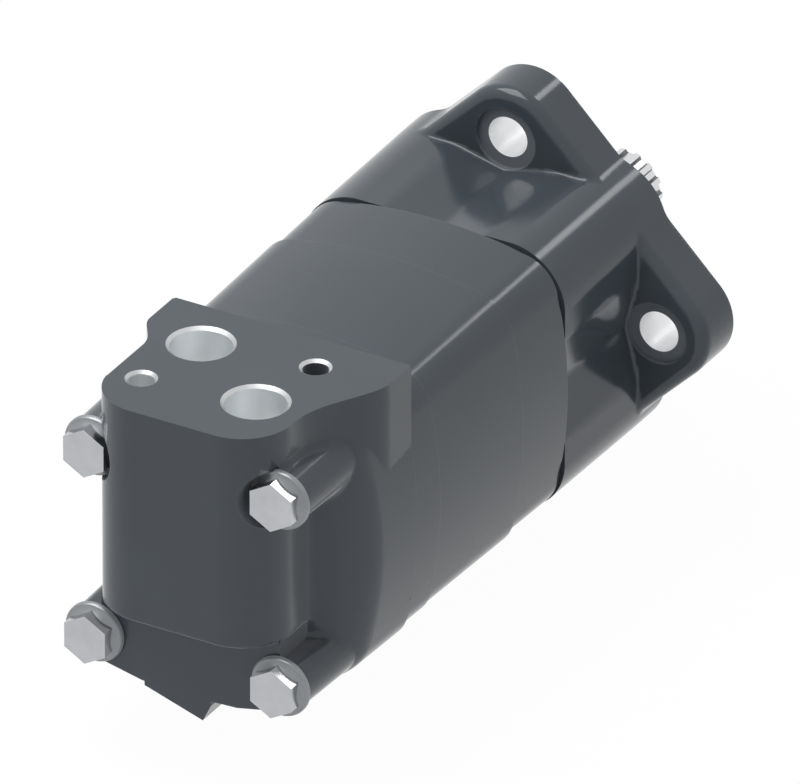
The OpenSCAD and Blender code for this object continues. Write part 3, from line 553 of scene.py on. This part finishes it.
def surface(solid, xs, ys, zs):
    """The surface of a distance field. Every cell of the grid that the surface passes through
    gets one point, at the middle of its edges' crossings. Each crossed grid edge joins the
    points of its four cells by a face. The points then move onto the surface and its creases."""
    lines = [xs, ys, zs]
    whole = solid(xs[:, None, None], ys[None, :, None], zs[None, None, :])[0]
    whole = np.broadcast_to(whole, [len(a) for a in lines])
    cells = tuple(len(a) - 1 for a in lines)
    sums, quads = np.zeros((4, int(np.prod(cells)))), []
    for axis in range(3):
        b, c = (axis + 1) % 3, (axis + 2) % 3
        start = np.take(whole, range(cells[axis]), axis)
        stop = np.take(whole, range(1, cells[axis] + 1), axis)
        index = np.array(np.nonzero((start < 0) != (stop < 0)))
        index = index[:, (index[b] > 0) & (index[b] < cells[b]) & (index[c] > 0) & (index[c] < cells[c])]
        first, last = start[tuple(index)], stop[tuple(index)]
        point = np.array([lines[k][index[k]] for k in range(3)])
        point[axis] += (lines[axis][index[axis] + 1] - point[axis]) * first / (first - last)
        around = []
        for db, dc in ((0, 0), (-1, 0), (-1, -1), (0, -1)):
            cell = index.copy()
            cell[b] += db
            cell[c] += dc
            flat = np.ravel_multi_index(tuple(cell), cells)
            around.append(flat)
            for k in range(3):
                sums[k] += np.bincount(flat, point[k], sums.shape[1])
            sums[3] += np.bincount(flat, minlength=sums.shape[1])
        quad = np.array(around).T
        quad[first > 0] = quad[first > 0][:, ::-1]
        quads.append(quad)
    used = np.nonzero(sums[3])[0]
    number = np.full(sums.shape[1], -1)
    number[used] = np.arange(len(used))
    quads = number[np.concatenate(quads)]
    p = sums[:3, used] / sums[3, used]
    where = np.unravel_index(used, cells)
    low = np.array([lines[k][where[k]] for k in range(3)])
    high = np.array([lines[k][where[k] + 1] for k in range(3)])
    for _ in range(3):
        value, slope = slopes(solid, p)
        grade = slope[0]
        move = value[0] * grade / np.maximum((grade ** 2).sum(0), 0.2)
        p = np.clip(p - move, low - 0.2 * (high - low), high + 0.2 * (high - low))
    active = active_parts(solid, p, low, high)
    p, edge = nearest_crease(solid, p, low, high, active, 2)
    p, corner = nearest_crease(solid, p, low, high, active, 3)
    return p, quads, edge | corner


def triangles_of(p, quads, crease):
    """Splits each face along the diagonal whose two ends both lie on a crease, or else along
    the shorter one."""
    a, b, c, d = quads.T
    first = np.linalg.norm(p[:, a] - p[:, c], axis=0) - 9 * (crease[a] & crease[c])
    second = np.linalg.norm(p[:, b] - p[:, d], axis=0) - 9 * (crease[b] & crease[d])
    short = (first <= second)[:, None]
    one = np.where(short, np.stack([a, b, c], 1), np.stack([a, b, d], 1))
    two = np.where(short, np.stack([a, c, d], 1), np.stack([b, c, d], 1))
    return np.concatenate([one, two])


def new_object(name, points, faces, materials):
    """A mesh object at the origin, from points in millimetres and faces of one kind."""
    mesh = bpy.data.meshes.new(name)
    mesh.from_pydata((points * MM).tolist(), [], faces.tolist())
    for material in materials:
        mesh.materials.append(material)
    obj = bpy.data.objects.new(name, mesh)
    bpy.context.scene.collection.objects.link(obj)
    return obj


def casting(name, solid, paint, xs, ys, zs):
    """A casting from its distance field, with its own paint as the first finish. A face belongs
    to the part that gives the whole form at its middle, which sets its material and, at each
    corner, its normal. The attribute "rim" is 1 where painted and bare faces meet, else 0."""
    p, quads, crease = surface(solid, xs, ys, zs)
    tris = triangles_of(p, quads, crease)
    sides = p[:, tris]
    area = np.linalg.norm(np.cross(sides[:, :, 1] - sides[:, :, 0], sides[:, :, 2] - sides[:, :, 0],
                                   axis=0), axis=0)
    tris = tris[area > 1e-5]
    middle = p[:, tris].mean(axis=2)
    value, _ = slopes(solid, middle)
    part = np.abs(value[1:] - value[0]).argmin(axis=0) + 1
    value, slope = slopes(solid, p)
    normal = slope[part[:, None], :, tris]
    normal /= np.maximum(np.linalg.norm(normal, axis=2, keepdims=True), 1e-6)
    counts = [len(parts) for parts in solid(*[np.zeros(1)] * 3)[1]]
    finish = np.searchsorted(np.cumsum(counts), part)
    touched = [np.bincount(tris[which].ravel(), minlength=p.shape[1]) > 0
               for which in (finish == 0, finish > 0)]
    obj = new_object(name, p.T, tris, [paint, BORED_WITH_PAINTED_LIGHT, SEAT_WITH_PAINTED_LIGHT, CUT_EDGE, PORT_BORE_WITH_PAINTED_LIGHT])
    mesh = obj.data
    mesh.polygons.foreach_set("material_index", finish.astype(np.int32))
    mesh.polygons.foreach_set("use_smooth", np.ones(len(tris), bool))
    rim = (touched[0] & touched[1]).astype(np.float32)
    mesh.attributes.new("rim", "FLOAT", "POINT").data.foreach_set("value", rim)
    mesh.normals_split_custom_set(normal.reshape(-1, 3))
    return obj


# Turned pieces: a grid of angle and place along the profile, closed by a point at each end

def turned(name, rings, start, end, materials, centres=((0, 0),), sharp=30, second=False):
    """A closed skin over rings of points, given as arrays of radius and depth by ring and angle.
    Start and end are the depths of the points that close it. It is repeated at each centre. The
    faces between rings that the mask second picks have the second material."""
    radius, depth = rings
    count, around = radius.shape
    angle = 2 * math.pi * np.arange(around) / around
    skin = np.stack([radius * np.cos(angle), -depth, radius * np.sin(angle)], 2).reshape(-1, 3)
    skin = np.concatenate([skin, [[0, -start, 0], [0, -end, 0]]])
    i, j = np.meshgrid(np.arange(count - 1), np.arange(around), indexing="ij")
    k = (j + 1) % around
    a, b, c, d = i * around + j, i * around + k, (i + 1) * around + k, (i + 1) * around + j
    faces = np.stack([np.stack([a, b, c], -1), np.stack([a, c, d], -1)]).reshape(-1, 3)
    j, last = np.arange(around), (count - 1) * around
    k, first_pole = (j + 1) % around, count * around
    front = np.stack([np.full(around, first_pole), k, j], 1)
    back = np.stack([np.full(around, first_pole + 1), last + j, last + k], 1)
    faces = np.concatenate([faces, front, back])
    finish = np.zeros((2, count - 1, around), np.int32)
    finish[:] = second
    finish = np.concatenate([finish.ravel(), np.zeros(2 * around, np.int32)])
    points = np.concatenate([skin + [cx, 0, cz] for cx, cz in centres])
    faces = np.concatenate([faces + n * len(skin) for n in range(len(centres))])
    obj = new_object(name, points, faces, materials)
    obj.data.polygons.foreach_set("use_smooth", np.ones(len(faces), bool))
    obj.data.polygons.foreach_set("material_index", np.tile(finish, len(centres)))
    obj.data.set_sharp_from_angle(angle=math.radians(sharp))
    return obj


def tooth_height(turn, teeth, land, slope):
    """Height of straight-sided teeth round a circle, from 0 at the root to 1 on the land, by the
    distance from the nearest tooth's middle as a share of the pitch."""
    off = np.abs((turn * teeth + 0.5) % 1 - 0.5)
    return np.clip((land / 2 + slope - off) / slope, 0, 1)


def tie_screws(materials):
    """Four flange-head screws. The hexagon's radius is half the width across flats over the
    cosine of the angle from the nearest flat's middle. The flange's hollow cone runs at every
    angle from its rim to the hexagon, so it reaches higher at the middle of each flat."""
    around = 144
    turn = 2 * math.pi * np.arange(around) / around
    flat = np.abs((turn + math.pi / 6) % (math.pi / 3) - math.pi / 6)
    hexagon = SCREW_AF / 2 / np.cos(flat)
    head, wide = SEAT_AT, SCREW_FLANGE_R
    lip = head + SCREW_FLANGE_T
    top = lip + SCREW_HEX_H
    rim, bevel = wide - 0.4, 0.3
    cone = []
    for t in np.linspace(0, 1, 9):
        r = rim + (hexagon - rim) * t
        rise = ((rim - r) / (rim - SCREW_AF / 2)) ** SCREW_CONE_POWER
        cone.append((r, lip + SCREW_CONE_H * rise))
    rings = [(SCREW_R - 1, SCREW_TIP_AT), (SCREW_R, SCREW_TIP_AT + 1), (SCREW_R, head),
             (wide - bevel, head), (wide, head + bevel), (wide, lip - 0.7), (wide - bevel, lip - 0.1)]
    rings += cone + [(hexagon, top - 0.15), (hexagon - 0.12, top)]
    radius = np.array([np.broadcast_to(r, around) for r, _ in rings])
    depth = np.array([np.broadcast_to(d, around) for _, d in rings])
    centres = [(sx * SCREW_AT, sz * SCREW_AT) for sx in (-1, 1) for sz in (-1, 1)]
    # All but the hexagon's sides and top take the second, darker zinc: painted shade
    flange = np.arange(len(rings) - 1) < len(rings) - 3
    return turned("tie_screw_set", (radius, depth), SCREW_TIP_AT, top, materials, centres,
                  second=flange[:, None])


def output_shaft(materials):
    """The output shaft, from the spline's end back over the journal and the bearing seats to the
    head, and into the head's inner spline. Each ring is a radius plus a share of a tooth."""
    around = 360
    turn = np.arange(around) / around
    outer = SPLINE_TOOTH_H * tooth_height(turn, SPLINE_TEETH, TOOTH_LAND, TOOTH_SLOPE)
    inner = SOCKET_TOOTH_H * (1 - tooth_height(turn, SOCKET_TEETH, TOOTH_LAND, TOOTH_SLOPE))
    front, root = -reach("output_shaft", 1, 1), SPLINE_ROOT_R
    head, head_end = reach("output_shaft", 0, 1), -reach("output_shaft", 1, 0)
    nut, shoulder = -reach("bearing_nut", 1, 1), head_end - HEAD_L
    floor, bevel = shoulder - SOCKET_FLOOR, 0.8
    outside = [(root - 1.6, front, 0), (root - 1, front, 0), (root, front + 0.6, 0),
               (root, front + 1.4, 0.93), (root, front + 2.2, 1), (root, -SPLINE_END - 4, 1),
               (root, -SPLINE_END - 1.6, 0.75), (root, -SPLINE_END, 0), (root + 0.4, -SPLINE_END, 0),
               (JOURNAL_R, JOURNAL_AT, 0), (JOURNAL_R, nut, 0),
               (BEARING_SEAT_R, nut, 0), (BEARING_SEAT_R, shoulder, 0),
               (head - bevel, shoulder, 0), (head, shoulder + bevel, 0),
               (head, head_end - bevel, 0), (head - bevel, head_end, 0)]
    socket = [(SOCKET_R + SOCKET_TOOTH_H + 0.6, head_end, 0), (SOCKET_R, head_end - 0.6, 1),
              (SOCKET_R, floor, 1)]
    rings = [(*ring, outer) for ring in outside] + [(*ring, inner) for ring in socket]
    radius = np.array([r + share * tooth for r, _, share, tooth in rings])
    depth = np.array([np.full(around, float(d)) for _, d, _, _ in rings])
    # The outer spline's tooth flanks take the second, darker steel: painted shade in the gaps between the
    # teeth
    flank = (outer > 0.02 * SPLINE_TOOTH_H) & (outer < 0.98 * SPLINE_TOOTH_H)
    toothed = np.array([share > 0 for _, _, share, _ in rings[1:]]) & (depth[1:, 0] < 0)
    return turned("output_shaft_skin", (radius, depth), front, floor, materials,
                  second=toothed[:, None] & (flank | np.roll(flank, -1)))


# Materials

def group(name, inputs, outputs):
    """An empty shader group with float or vector inputs, given by their defaults, and outputs."""
    tree = bpy.data.node_groups.new(name, "ShaderNodeTree")
    for label, value in inputs.items():
        kind = "NodeSocketFloat" if isinstance(value, (int, float)) else "NodeSocketVector"
        tree.interface.new_socket(name=label, in_out="INPUT", socket_type=kind).default_value = value
    for label, kind in outputs.items():
        tree.interface.new_socket(name=label, in_out="OUTPUT", socket_type=kind)
    return tree, tree.nodes.new("NodeGroupInput"), tree.nodes.new("NodeGroupOutput")


def math_node(tree, operation, a, b=None, clamp=False):
    """A Math node whose inputs are sockets or numbers. Returns its output."""
    node = tree.nodes.new("ShaderNodeMath")
    node.operation = operation
    node.use_clamp = clamp
    for socket, value in zip(node.inputs, (a, b)):
        if isinstance(value, (int, float)):
            socket.default_value = value
        elif value is not None:
            tree.links.new(value, socket)
    return node.outputs[0]


def noise(tree, vector, scale, detail=3):
    """A Noise Texture on a vector, with its scale from a socket or a number."""
    node = tree.nodes.new("ShaderNodeTexNoise")
    node.inputs["Detail"].default_value = detail
    tree.links.new(vector, node.inputs["Vector"])
    if isinstance(scale, (int, float)):
        node.inputs["Scale"].default_value = scale
    else:
        tree.links.new(scale, node.inputs["Scale"])
    return node.outputs["Fac"]


def grain_group():
    """Fine grain with broad patches: Height for a bump, Patch from 0 to 1 for colour and gloss."""
    tree, given, out = group("surface_grain", {"Grain Scale": 900.0, "Patch Scale": 40.0},
                             {"Height": "NodeSocketFloat", "Patch": "NodeSocketFloat"})
    where = tree.nodes.new("ShaderNodeTexCoord").outputs["Object"]
    fine = noise(tree, where, given.outputs["Grain Scale"], 4)
    broad = noise(tree, where, given.outputs["Patch Scale"], 5)
    tree.links.new(fine, out.inputs["Height"])
    tree.links.new(broad, out.inputs["Patch"])
    return tree


def marks_group():
    """Turning marks: a wave along the given axis whose step wanders a little with noise."""
    tree, given, out = group("turning_marks", {"Axis": (0, 1, 0), "Marks per Metre": 2500.0},
                             {"Height": "NodeSocketFloat", "Streak": "NodeSocketFloat"})
    where = tree.nodes.new("ShaderNodeTexCoord").outputs["Object"]
    dot = tree.nodes.new("ShaderNodeVectorMath")
    dot.operation = "DOT_PRODUCT"
    tree.links.new(where, dot.inputs[0])
    tree.links.new(given.outputs["Axis"], dot.inputs[1])
    place = math_node(tree, "MULTIPLY", dot.outputs["Value"], given.outputs["Marks per Metre"])
    wander = math_node(tree, "MULTIPLY", noise(tree, where, 160.0), 3.0)
    wave = math_node(tree, "SINE", math_node(tree, "ADD", place, wander))
    tree.links.new(wave, out.inputs["Height"])
    line = tree.nodes.new("ShaderNodeCombineXYZ")
    tree.links.new(math_node(tree, "MULTIPLY", place, 0.16), line.inputs[0])
    tree.links.new(noise(tree, line.outputs[0], 1.0, 2), out.inputs["Streak"])
    return tree


def rim_group():
    """Thinning of the paint next to a machined edge: most on the edge itself, where the
    attribute is 1, none where it has fallen below one less the width, and broken by noise."""
    tree, given, out = group("rim_wear", {"Width": 0.5}, {"Mask": "NodeSocketFloat"})
    rim = tree.nodes.new("ShaderNodeAttribute")
    rim.attribute_name = "rim"
    far = math_node(tree, "SUBTRACT", 1.0, rim.outputs["Fac"])
    near = math_node(tree, "DIVIDE", far, given.outputs["Width"])
    where = tree.nodes.new("ShaderNodeTexCoord").outputs["Object"]
    broken = math_node(tree, "MULTIPLY", noise(tree, where, 700.0), 1.6)
    mask = math_node(tree, "SUBTRACT", broken, near, clamp=True)
    tree.links.new(mask, out.inputs["Mask"])
    return tree


GRAIN, MARKS, RIM = grain_group(), marks_group(), rim_group()


def new_material(name, **values):
    """A material with its Principled shader's own sockets set to the given values."""
    material = bpy.data.materials.new(name)
    material.use_nodes = True
    shader = material.node_tree.nodes["Principled BSDF"]
    for label, value in values.items():
        shader.inputs[label.replace("_", " ")].default_value = value
    return material, material.node_tree, shader


def place_group(tree, source, **values):
    """A shader group in a material, with its own input values."""
    node = tree.nodes.new("ShaderNodeGroup")
    node.node_tree = source
    for label, value in values.items():
        node.inputs[label.replace("_", " ")].default_value = value
    return node


def blend_colours(tree, factor, low, high, target):
    """Two colours mixed by a factor, into a colour socket."""
    mix = tree.nodes.new("ShaderNodeMix")
    mix.data_type = "RGBA"
    tree.links.new(factor, mix.inputs["Factor"])
    for socket, value in ((mix.inputs["A"], low), (mix.inputs["B"], high)):
        if isinstance(value, tuple):
            socket.default_value = (*value, 1)
        else:
            tree.links.new(value, socket)
    if target is not None:
        tree.links.new(mix.outputs["Result"], target)
    return mix.outputs["Result"]


def spread(tree, value, low, high):
    """A value from 0 to 1 mapped to a range, from the middle half of the noise."""
    node = tree.nodes.new("ShaderNodeMapRange")
    for socket, number in zip(node.inputs[1:5], (0.3, 0.7, low, high)):
        socket.default_value = number
    tree.links.new(value, node.inputs[0])
    return node.outputs[0]


def bump(tree, height, distance, shader, strength=1.0):
    """A bump from a height, into the shader's normal."""
    node = tree.nodes.new("ShaderNodeBump")
    node.inputs["Strength"].default_value = strength
    node.inputs["Distance"].default_value = distance
    tree.links.new(height, node.inputs["Height"])
    tree.links.new(node.outputs["Normal"], shader.inputs["Normal"])


def glow_over(tree, shader, share):
    """A share of plain white light mixed over a material's shader."""
    glow = tree.nodes.new("ShaderNodeEmission")
    mix = tree.nodes.new("ShaderNodeMixShader")
    tree.links.new(share, mix.inputs[0])
    tree.links.new(shader.outputs[0], mix.inputs[1])
    tree.links.new(glow.outputs[0], mix.inputs[2])
    tree.links.new(mix.outputs[0], tree.nodes["Material Output"].inputs["Surface"])


def slate_paint(name, reflection_glow):
    """Glossy dark slate enamel over a smooth casting: faint orange peel and patches, and a
    little wear along the machined edges. Reflection glow is the share of white light that it gives off
    to glossy rays: a painted reflection that makes it look paler where other surfaces mirror it."""
    material, tree, shader = new_material(name, IOR=1.42)
    grain = place_group(tree, GRAIN, Grain_Scale=420.0, Patch_Scale=26.0)
    colour = blend_colours(tree, spread(tree, grain.outputs["Patch"], 0.0, 1.0),
                           (0.044, 0.053, 0.062), (0.049, 0.059, 0.069), None)
    worn = place_group(tree, RIM, Width=0.55)
    mask = math_node(tree, "MULTIPLY", worn.outputs["Mask"], 0.25)
    blend_colours(tree, mask, colour, (0.12, 0.13, 0.14), shader.inputs["Base Color"])
    tree.links.new(spread(tree, grain.outputs["Patch"], 0.12, 0.15), shader.inputs["Roughness"])
    bump(tree, grain.outputs["Height"], 0.000006, shader)
    # White light mixed in for glossy rays only: painted reflection, so the paint looks paler where other
    # surfaces mirror it
    if reflection_glow:
        mirrored = tree.nodes.new("ShaderNodeLightPath").outputs["Is Glossy Ray"]
        glow_over(tree, shader, math_node(tree, "MULTIPLY", mirrored, reflection_glow))
    return material


def seat_paint_with_painted_light():
    """The same enamel, thin and dull over a machined seat, and paler than the enamel: partly the
    seat's own finish, partly painted light that lifts the narrow screw reliefs out of their shade.
    """
    material, tree, shader = new_material("thin_enamel_on_seat_with_painted_light", IOR=1.42)
    grain = place_group(tree, GRAIN, Grain_Scale=700.0, Patch_Scale=60.0)
    # Paler than the enamel: painted light in the shaded screw reliefs, as well as the seat's thin paint
    blend_colours(tree, spread(tree, grain.outputs["Patch"], 0.0, 1.0), (0.115, 0.125, 0.135),
                  (0.135, 0.146, 0.157), shader.inputs["Base Color"])
    tree.links.new(spread(tree, grain.outputs["Patch"], 0.34, 0.42), shader.inputs["Roughness"])
    bump(tree, grain.outputs["Height"], 0.000006, shader)
    return material


def metal(name, low, high, rough, axis=None, marks=2500.0, depth=0.000004, grain_scale=1500.0,
          metallic=1.0):
    """Bare metal: two tones in patches, a roughness range, and turning marks along an axis or
    a fine grain."""
    material, tree, shader = new_material(name, Metallic=metallic)
    grain = place_group(tree, GRAIN, Grain_Scale=grain_scale, Patch_Scale=120.0)
    tone, height = grain.outputs["Patch"], grain.outputs["Height"]
    if axis is not None:
        turned_marks = place_group(tree, MARKS, Axis=axis, Marks_per_Metre=marks * 2 * math.pi)
        tone, height = turned_marks.outputs["Streak"], turned_marks.outputs["Height"]
    blend_colours(tree, spread(tree, tone, 0.0, 1.0), low, high, shader.inputs["Base Color"])
    tree.links.new(spread(tree, grain.outputs["Patch"], *rough), shader.inputs["Roughness"])
    bump(tree, height, depth, shader)
    return material


def rubber():
    """Black nitrile rubber with a dull bloom."""
    material, tree, shader = new_material("nitrile_rubber", IOR=1.45)
    grain = place_group(tree, GRAIN, Grain_Scale=1800.0, Patch_Scale=200.0)
    blend_colours(tree, spread(tree, grain.outputs["Patch"], 0.0, 1.0), (0.012, 0.012, 0.013),
                  (0.024, 0.024, 0.026), shader.inputs["Base Color"])
    tree.links.new(spread(tree, grain.outputs["Patch"], 0.5, 0.68), shader.inputs["Roughness"])
    bump(tree, grain.outputs["Height"], 0.00002, shader)
    return material


PAINT = slate_paint("slate_enamel", 0)
# The valve housing's enamel glows white to glossy rays: a painted reflection that pales it where other
# surfaces mirror it
BLOCK_PAINT_WITH_PAINTED_REFLECTION = slate_paint("slate_enamel_of_block_with_painted_reflection_glow", 0.35)
# Bare bored iron, but near white: painted light that brightens the inside of the holes against their shade
BORED_WITH_PAINTED_LIGHT = metal("bored_iron_with_painted_light", (0.84, 0.85, 0.86), (0.92, 0.92, 0.93), (0.40, 0.52), (0, 1, 0), 3200.0)
CUT_EDGE = metal("bright_cut_edge", (0.48, 0.49, 0.50), (0.56, 0.57, 0.58), (0.35, 0.45))
SEAT_WITH_PAINTED_LIGHT = seat_paint_with_painted_light()
ZINC = metal("bright_zinc", (0.44, 0.45, 0.47), (0.50, 0.51, 0.53), (0.16, 0.24), grain_scale=1100.0)
# A darker copy of the zinc for the screws below the hexagon: painted shade
SHADED_ZINC = metal("zinc_with_painted_shade", (0.23, 0.24, 0.25), (0.28, 0.29, 0.30), (0.34, 0.42), grain_scale=1100.0,
                  metallic=0.6)
# Darker steel for the spline's tooth flanks: painted shade in the tooth gaps
SHADED_FLANK_STEEL = metal("spline_flank_steel_painted_shade", (0.13, 0.135, 0.14), (0.18, 0.185, 0.19), (0.3, 0.4))
# Bare port bores, near white: painted light that brightens the inside of the ports against their shade
PORT_BORE_WITH_PAINTED_LIGHT = metal("bored_port_with_painted_light", (0.76, 0.78, 0.79), (0.81, 0.83, 0.84), (0.44, 0.52))
SHAFT_STEEL = metal("turned_shaft_steel", (0.62, 0.63, 0.64), (0.74, 0.75, 0.76), (0.18, 0.3), (0, 1, 0))
BEARING_STEEL = metal("ground_bearing_steel", (0.66, 0.67, 0.68), (0.74, 0.75, 0.76), (0.08, 0.16),
                      (0, 1, 0), 5000.0, 0.000002)
HARD_STEEL = metal("hardened_steel", (0.36, 0.36, 0.38), (0.5, 0.5, 0.52), (0.25, 0.38), (0, 1, 0), 3000.0)
SPRING_STEEL = metal("spring_steel", (0.34, 0.35, 0.37), (0.46, 0.47, 0.49), (0.28, 0.4))
CAGE_BRASS = metal("cage_brass", (0.55, 0.40, 0.18), (0.68, 0.51, 0.26), (0.28, 0.42))
RUBBER = rubber()

SLOT_MATERIAL = {"bearing_steel": BEARING_STEEL, "hard_steel": HARD_STEEL, "cage_brass": CAGE_BRASS,
                 "spring_steel": SPRING_STEEL, "seal_rubber": RUBBER}


# The dressed pieces

def dress(obj, body, node):
    """Puts a new piece in a CAD node's place."""
    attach(obj, body)
    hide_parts(node)


# Sizes of a cell, in millimetres, for the detailed castings and for the plain sections
FINE = 1.05
PLAIN = 1.3
flange_reach = LUG_CIRCLE_R + LUG_R
wide = steps(-flange_reach, flange_reach, FINE)
dress(casting("bearing_housing_cast", bearing_housing, PAINT, wide,
              steps(-WEAR_AT, PILOT_H, FINE, (-WEAR_AT, -WEAR_AT + SEAM_W, -LUG_T, 0, PILOT_H)), wide),
      "case", "bearing_housing")
barrel_reach = BARREL_HALF + 1
square = steps(-barrel_reach, barrel_reach, PLAIN)
for node, solid, at, end in (("wear_plate", wear_plate, WEAR_AT, RING_AT),
                             ("roller_ring", roller_ring, RING_AT, PLATE_AT),
                             ("valve_plate", valve_plate, PLATE_AT, VALVE_AT)):
    along = steps(-end, -at, PLAIN, (-end, -at))
    dress(casting(node + "_cast", solid, PAINT, square, along, square), "case", node)
dress(casting("valve_housing_cast", valve_housing, BLOCK_PAINT_WITH_PAINTED_REFLECTION, steps(-barrel_reach, barrel_reach, FINE),
              steps(-REAR_AT, -VALVE_AT, FINE, (-REAR_AT, -SEAT_AT, -VALVE_AT)),
              steps(-SKIRT_DROP - GALLERY_DROP[1], PORT_FACE_Z, FINE, (PORT_FACE_Z,))),
      "case", "valve_housing")
dress(tie_screws([ZINC, SHADED_ZINC]), "case", "tie_screws")
dress(output_shaft([SHAFT_STEEL, SHADED_FLANK_STEEL]), "shaft", "output_shaft")

BY_WORD = (("seal_washer", "hard_steel"), ("seal", "seal_rubber"), ("cage", "cage_brass"),
           ("balance_ring", "cage_brass"), ("spring", "spring_steel"), ("bearing_nut", "hard_steel"),
           ("bearing", "bearing_steel"), ("roller_", "bearing_steel"), ("ball", "bearing_steel"))
for name, node in frame["nodes"].items():
    slot = next((s for word, s in BY_WORD if word in name), "hard_steel")
    node.data.materials.clear()
    node.data.materials.append(SLOT_MATERIAL[slot])


# Camera, light and floor

def camera():
    """A long lens at the photograph's angle: 30 degrees round from the rear and 30 above."""
    view_mm, lens, sensor = 243.5, 1500, 36
    aim = np.array([0, -82.0, -3.7]) * MM
    back = np.array([0.433, -0.75, 0.5])
    back /= np.linalg.norm(back)
    data = bpy.data.cameras.new("camera")
    data.lens, data.sensor_width = lens, sensor
    distance = view_mm * MM * lens / sensor
    data.clip_end = 4 * distance
    right = np.cross([0, 0, 1], back)
    right /= np.linalg.norm(right)
    obj = bpy.data.objects.new("camera", data)
    frame_axes = np.eye(4)
    frame_axes[:3, :3] = np.stack([right, np.cross(back, right), back], 1)
    frame_axes[:3, 3] = aim + back * distance
    obj.matrix_world = Matrix(frame_axes.tolist())
    bpy.context.scene.collection.objects.link(obj)
    bpy.context.scene.camera = obj


def softbox(name, toward, distance, size, watts):
    """A square area lamp that looks at the motor from a direction."""
    data = bpy.data.lights.new(name, "AREA")
    data.size, data.energy = size, watts
    obj = bpy.data.objects.new(name, data)
    toward = np.array(toward, float) / np.linalg.norm(toward)
    side = np.cross([0, 0, 1], toward)
    side /= np.linalg.norm(side)
    axes = np.eye(4)
    axes[:3, :3] = np.stack([side, np.cross(toward, side), toward], 1)
    axes[:3, 3] = np.array([0, -0.1, 0]) + toward * distance
    obj.matrix_world = Matrix(axes.tolist())
    bpy.context.scene.collection.objects.link(obj)


def seen_by_eye(tree):
    """1 for camera, glossy and transmission rays, 0 for the light that falls on surfaces."""
    path = tree.nodes.new("ShaderNodeLightPath")
    seen = math_node(tree, "MAXIMUM", path.outputs["Is Camera Ray"], path.outputs["Is Glossy Ray"])
    return math_node(tree, "MAXIMUM", seen, path.outputs["Is Transmission Ray"])


def surroundings():
    """White to the eye and in reflections, and a soft grey light on the surfaces."""
    world = bpy.data.worlds.new("studio")
    bpy.context.scene.world = world
    world.use_nodes = True
    tree = world.node_tree
    base = tree.nodes["Background"]
    blend_colours(tree, seen_by_eye(tree), (0.43, 0.44, 0.47), (1.0, 1.0, 1.0), base.inputs["Color"])


def floor():
    """A pale floor under the flange, white to the eye, that takes a faint shadow."""
    size, low = 3.0, float(cad_box[0][2]) - 0.0005
    corners = np.array([[-size, -size, 0], [size, -size, 0], [size, size, 0], [-size, size, 0]]) / MM
    material, tree, shader = new_material("pale_floor", Roughness=0.9)
    grain = place_group(tree, GRAIN, Grain_Scale=60.0, Patch_Scale=3.0)
    blend_colours(tree, grain.outputs["Patch"], (0.88, 0.88, 0.88), (0.92, 0.92, 0.92),
                  shader.inputs["Base Color"])
    glow_over(tree, shader, math_node(tree, "MULTIPLY", seen_by_eye(tree), 0.97))
    obj = new_object("pale_floor", corners + [0, 0, low / MM], np.array([[0, 1, 2, 3]]), [material])


camera()
surroundings()
floor()
softbox("key_above", (-0.3, -0.2, 1), 0.9, 0.7, 8.5)
softbox("edge_light", (0.22, 0.75, 0.63), 3, 0.38, 2.6)
bpy.context.scene.view_settings.view_transform = "Standard"
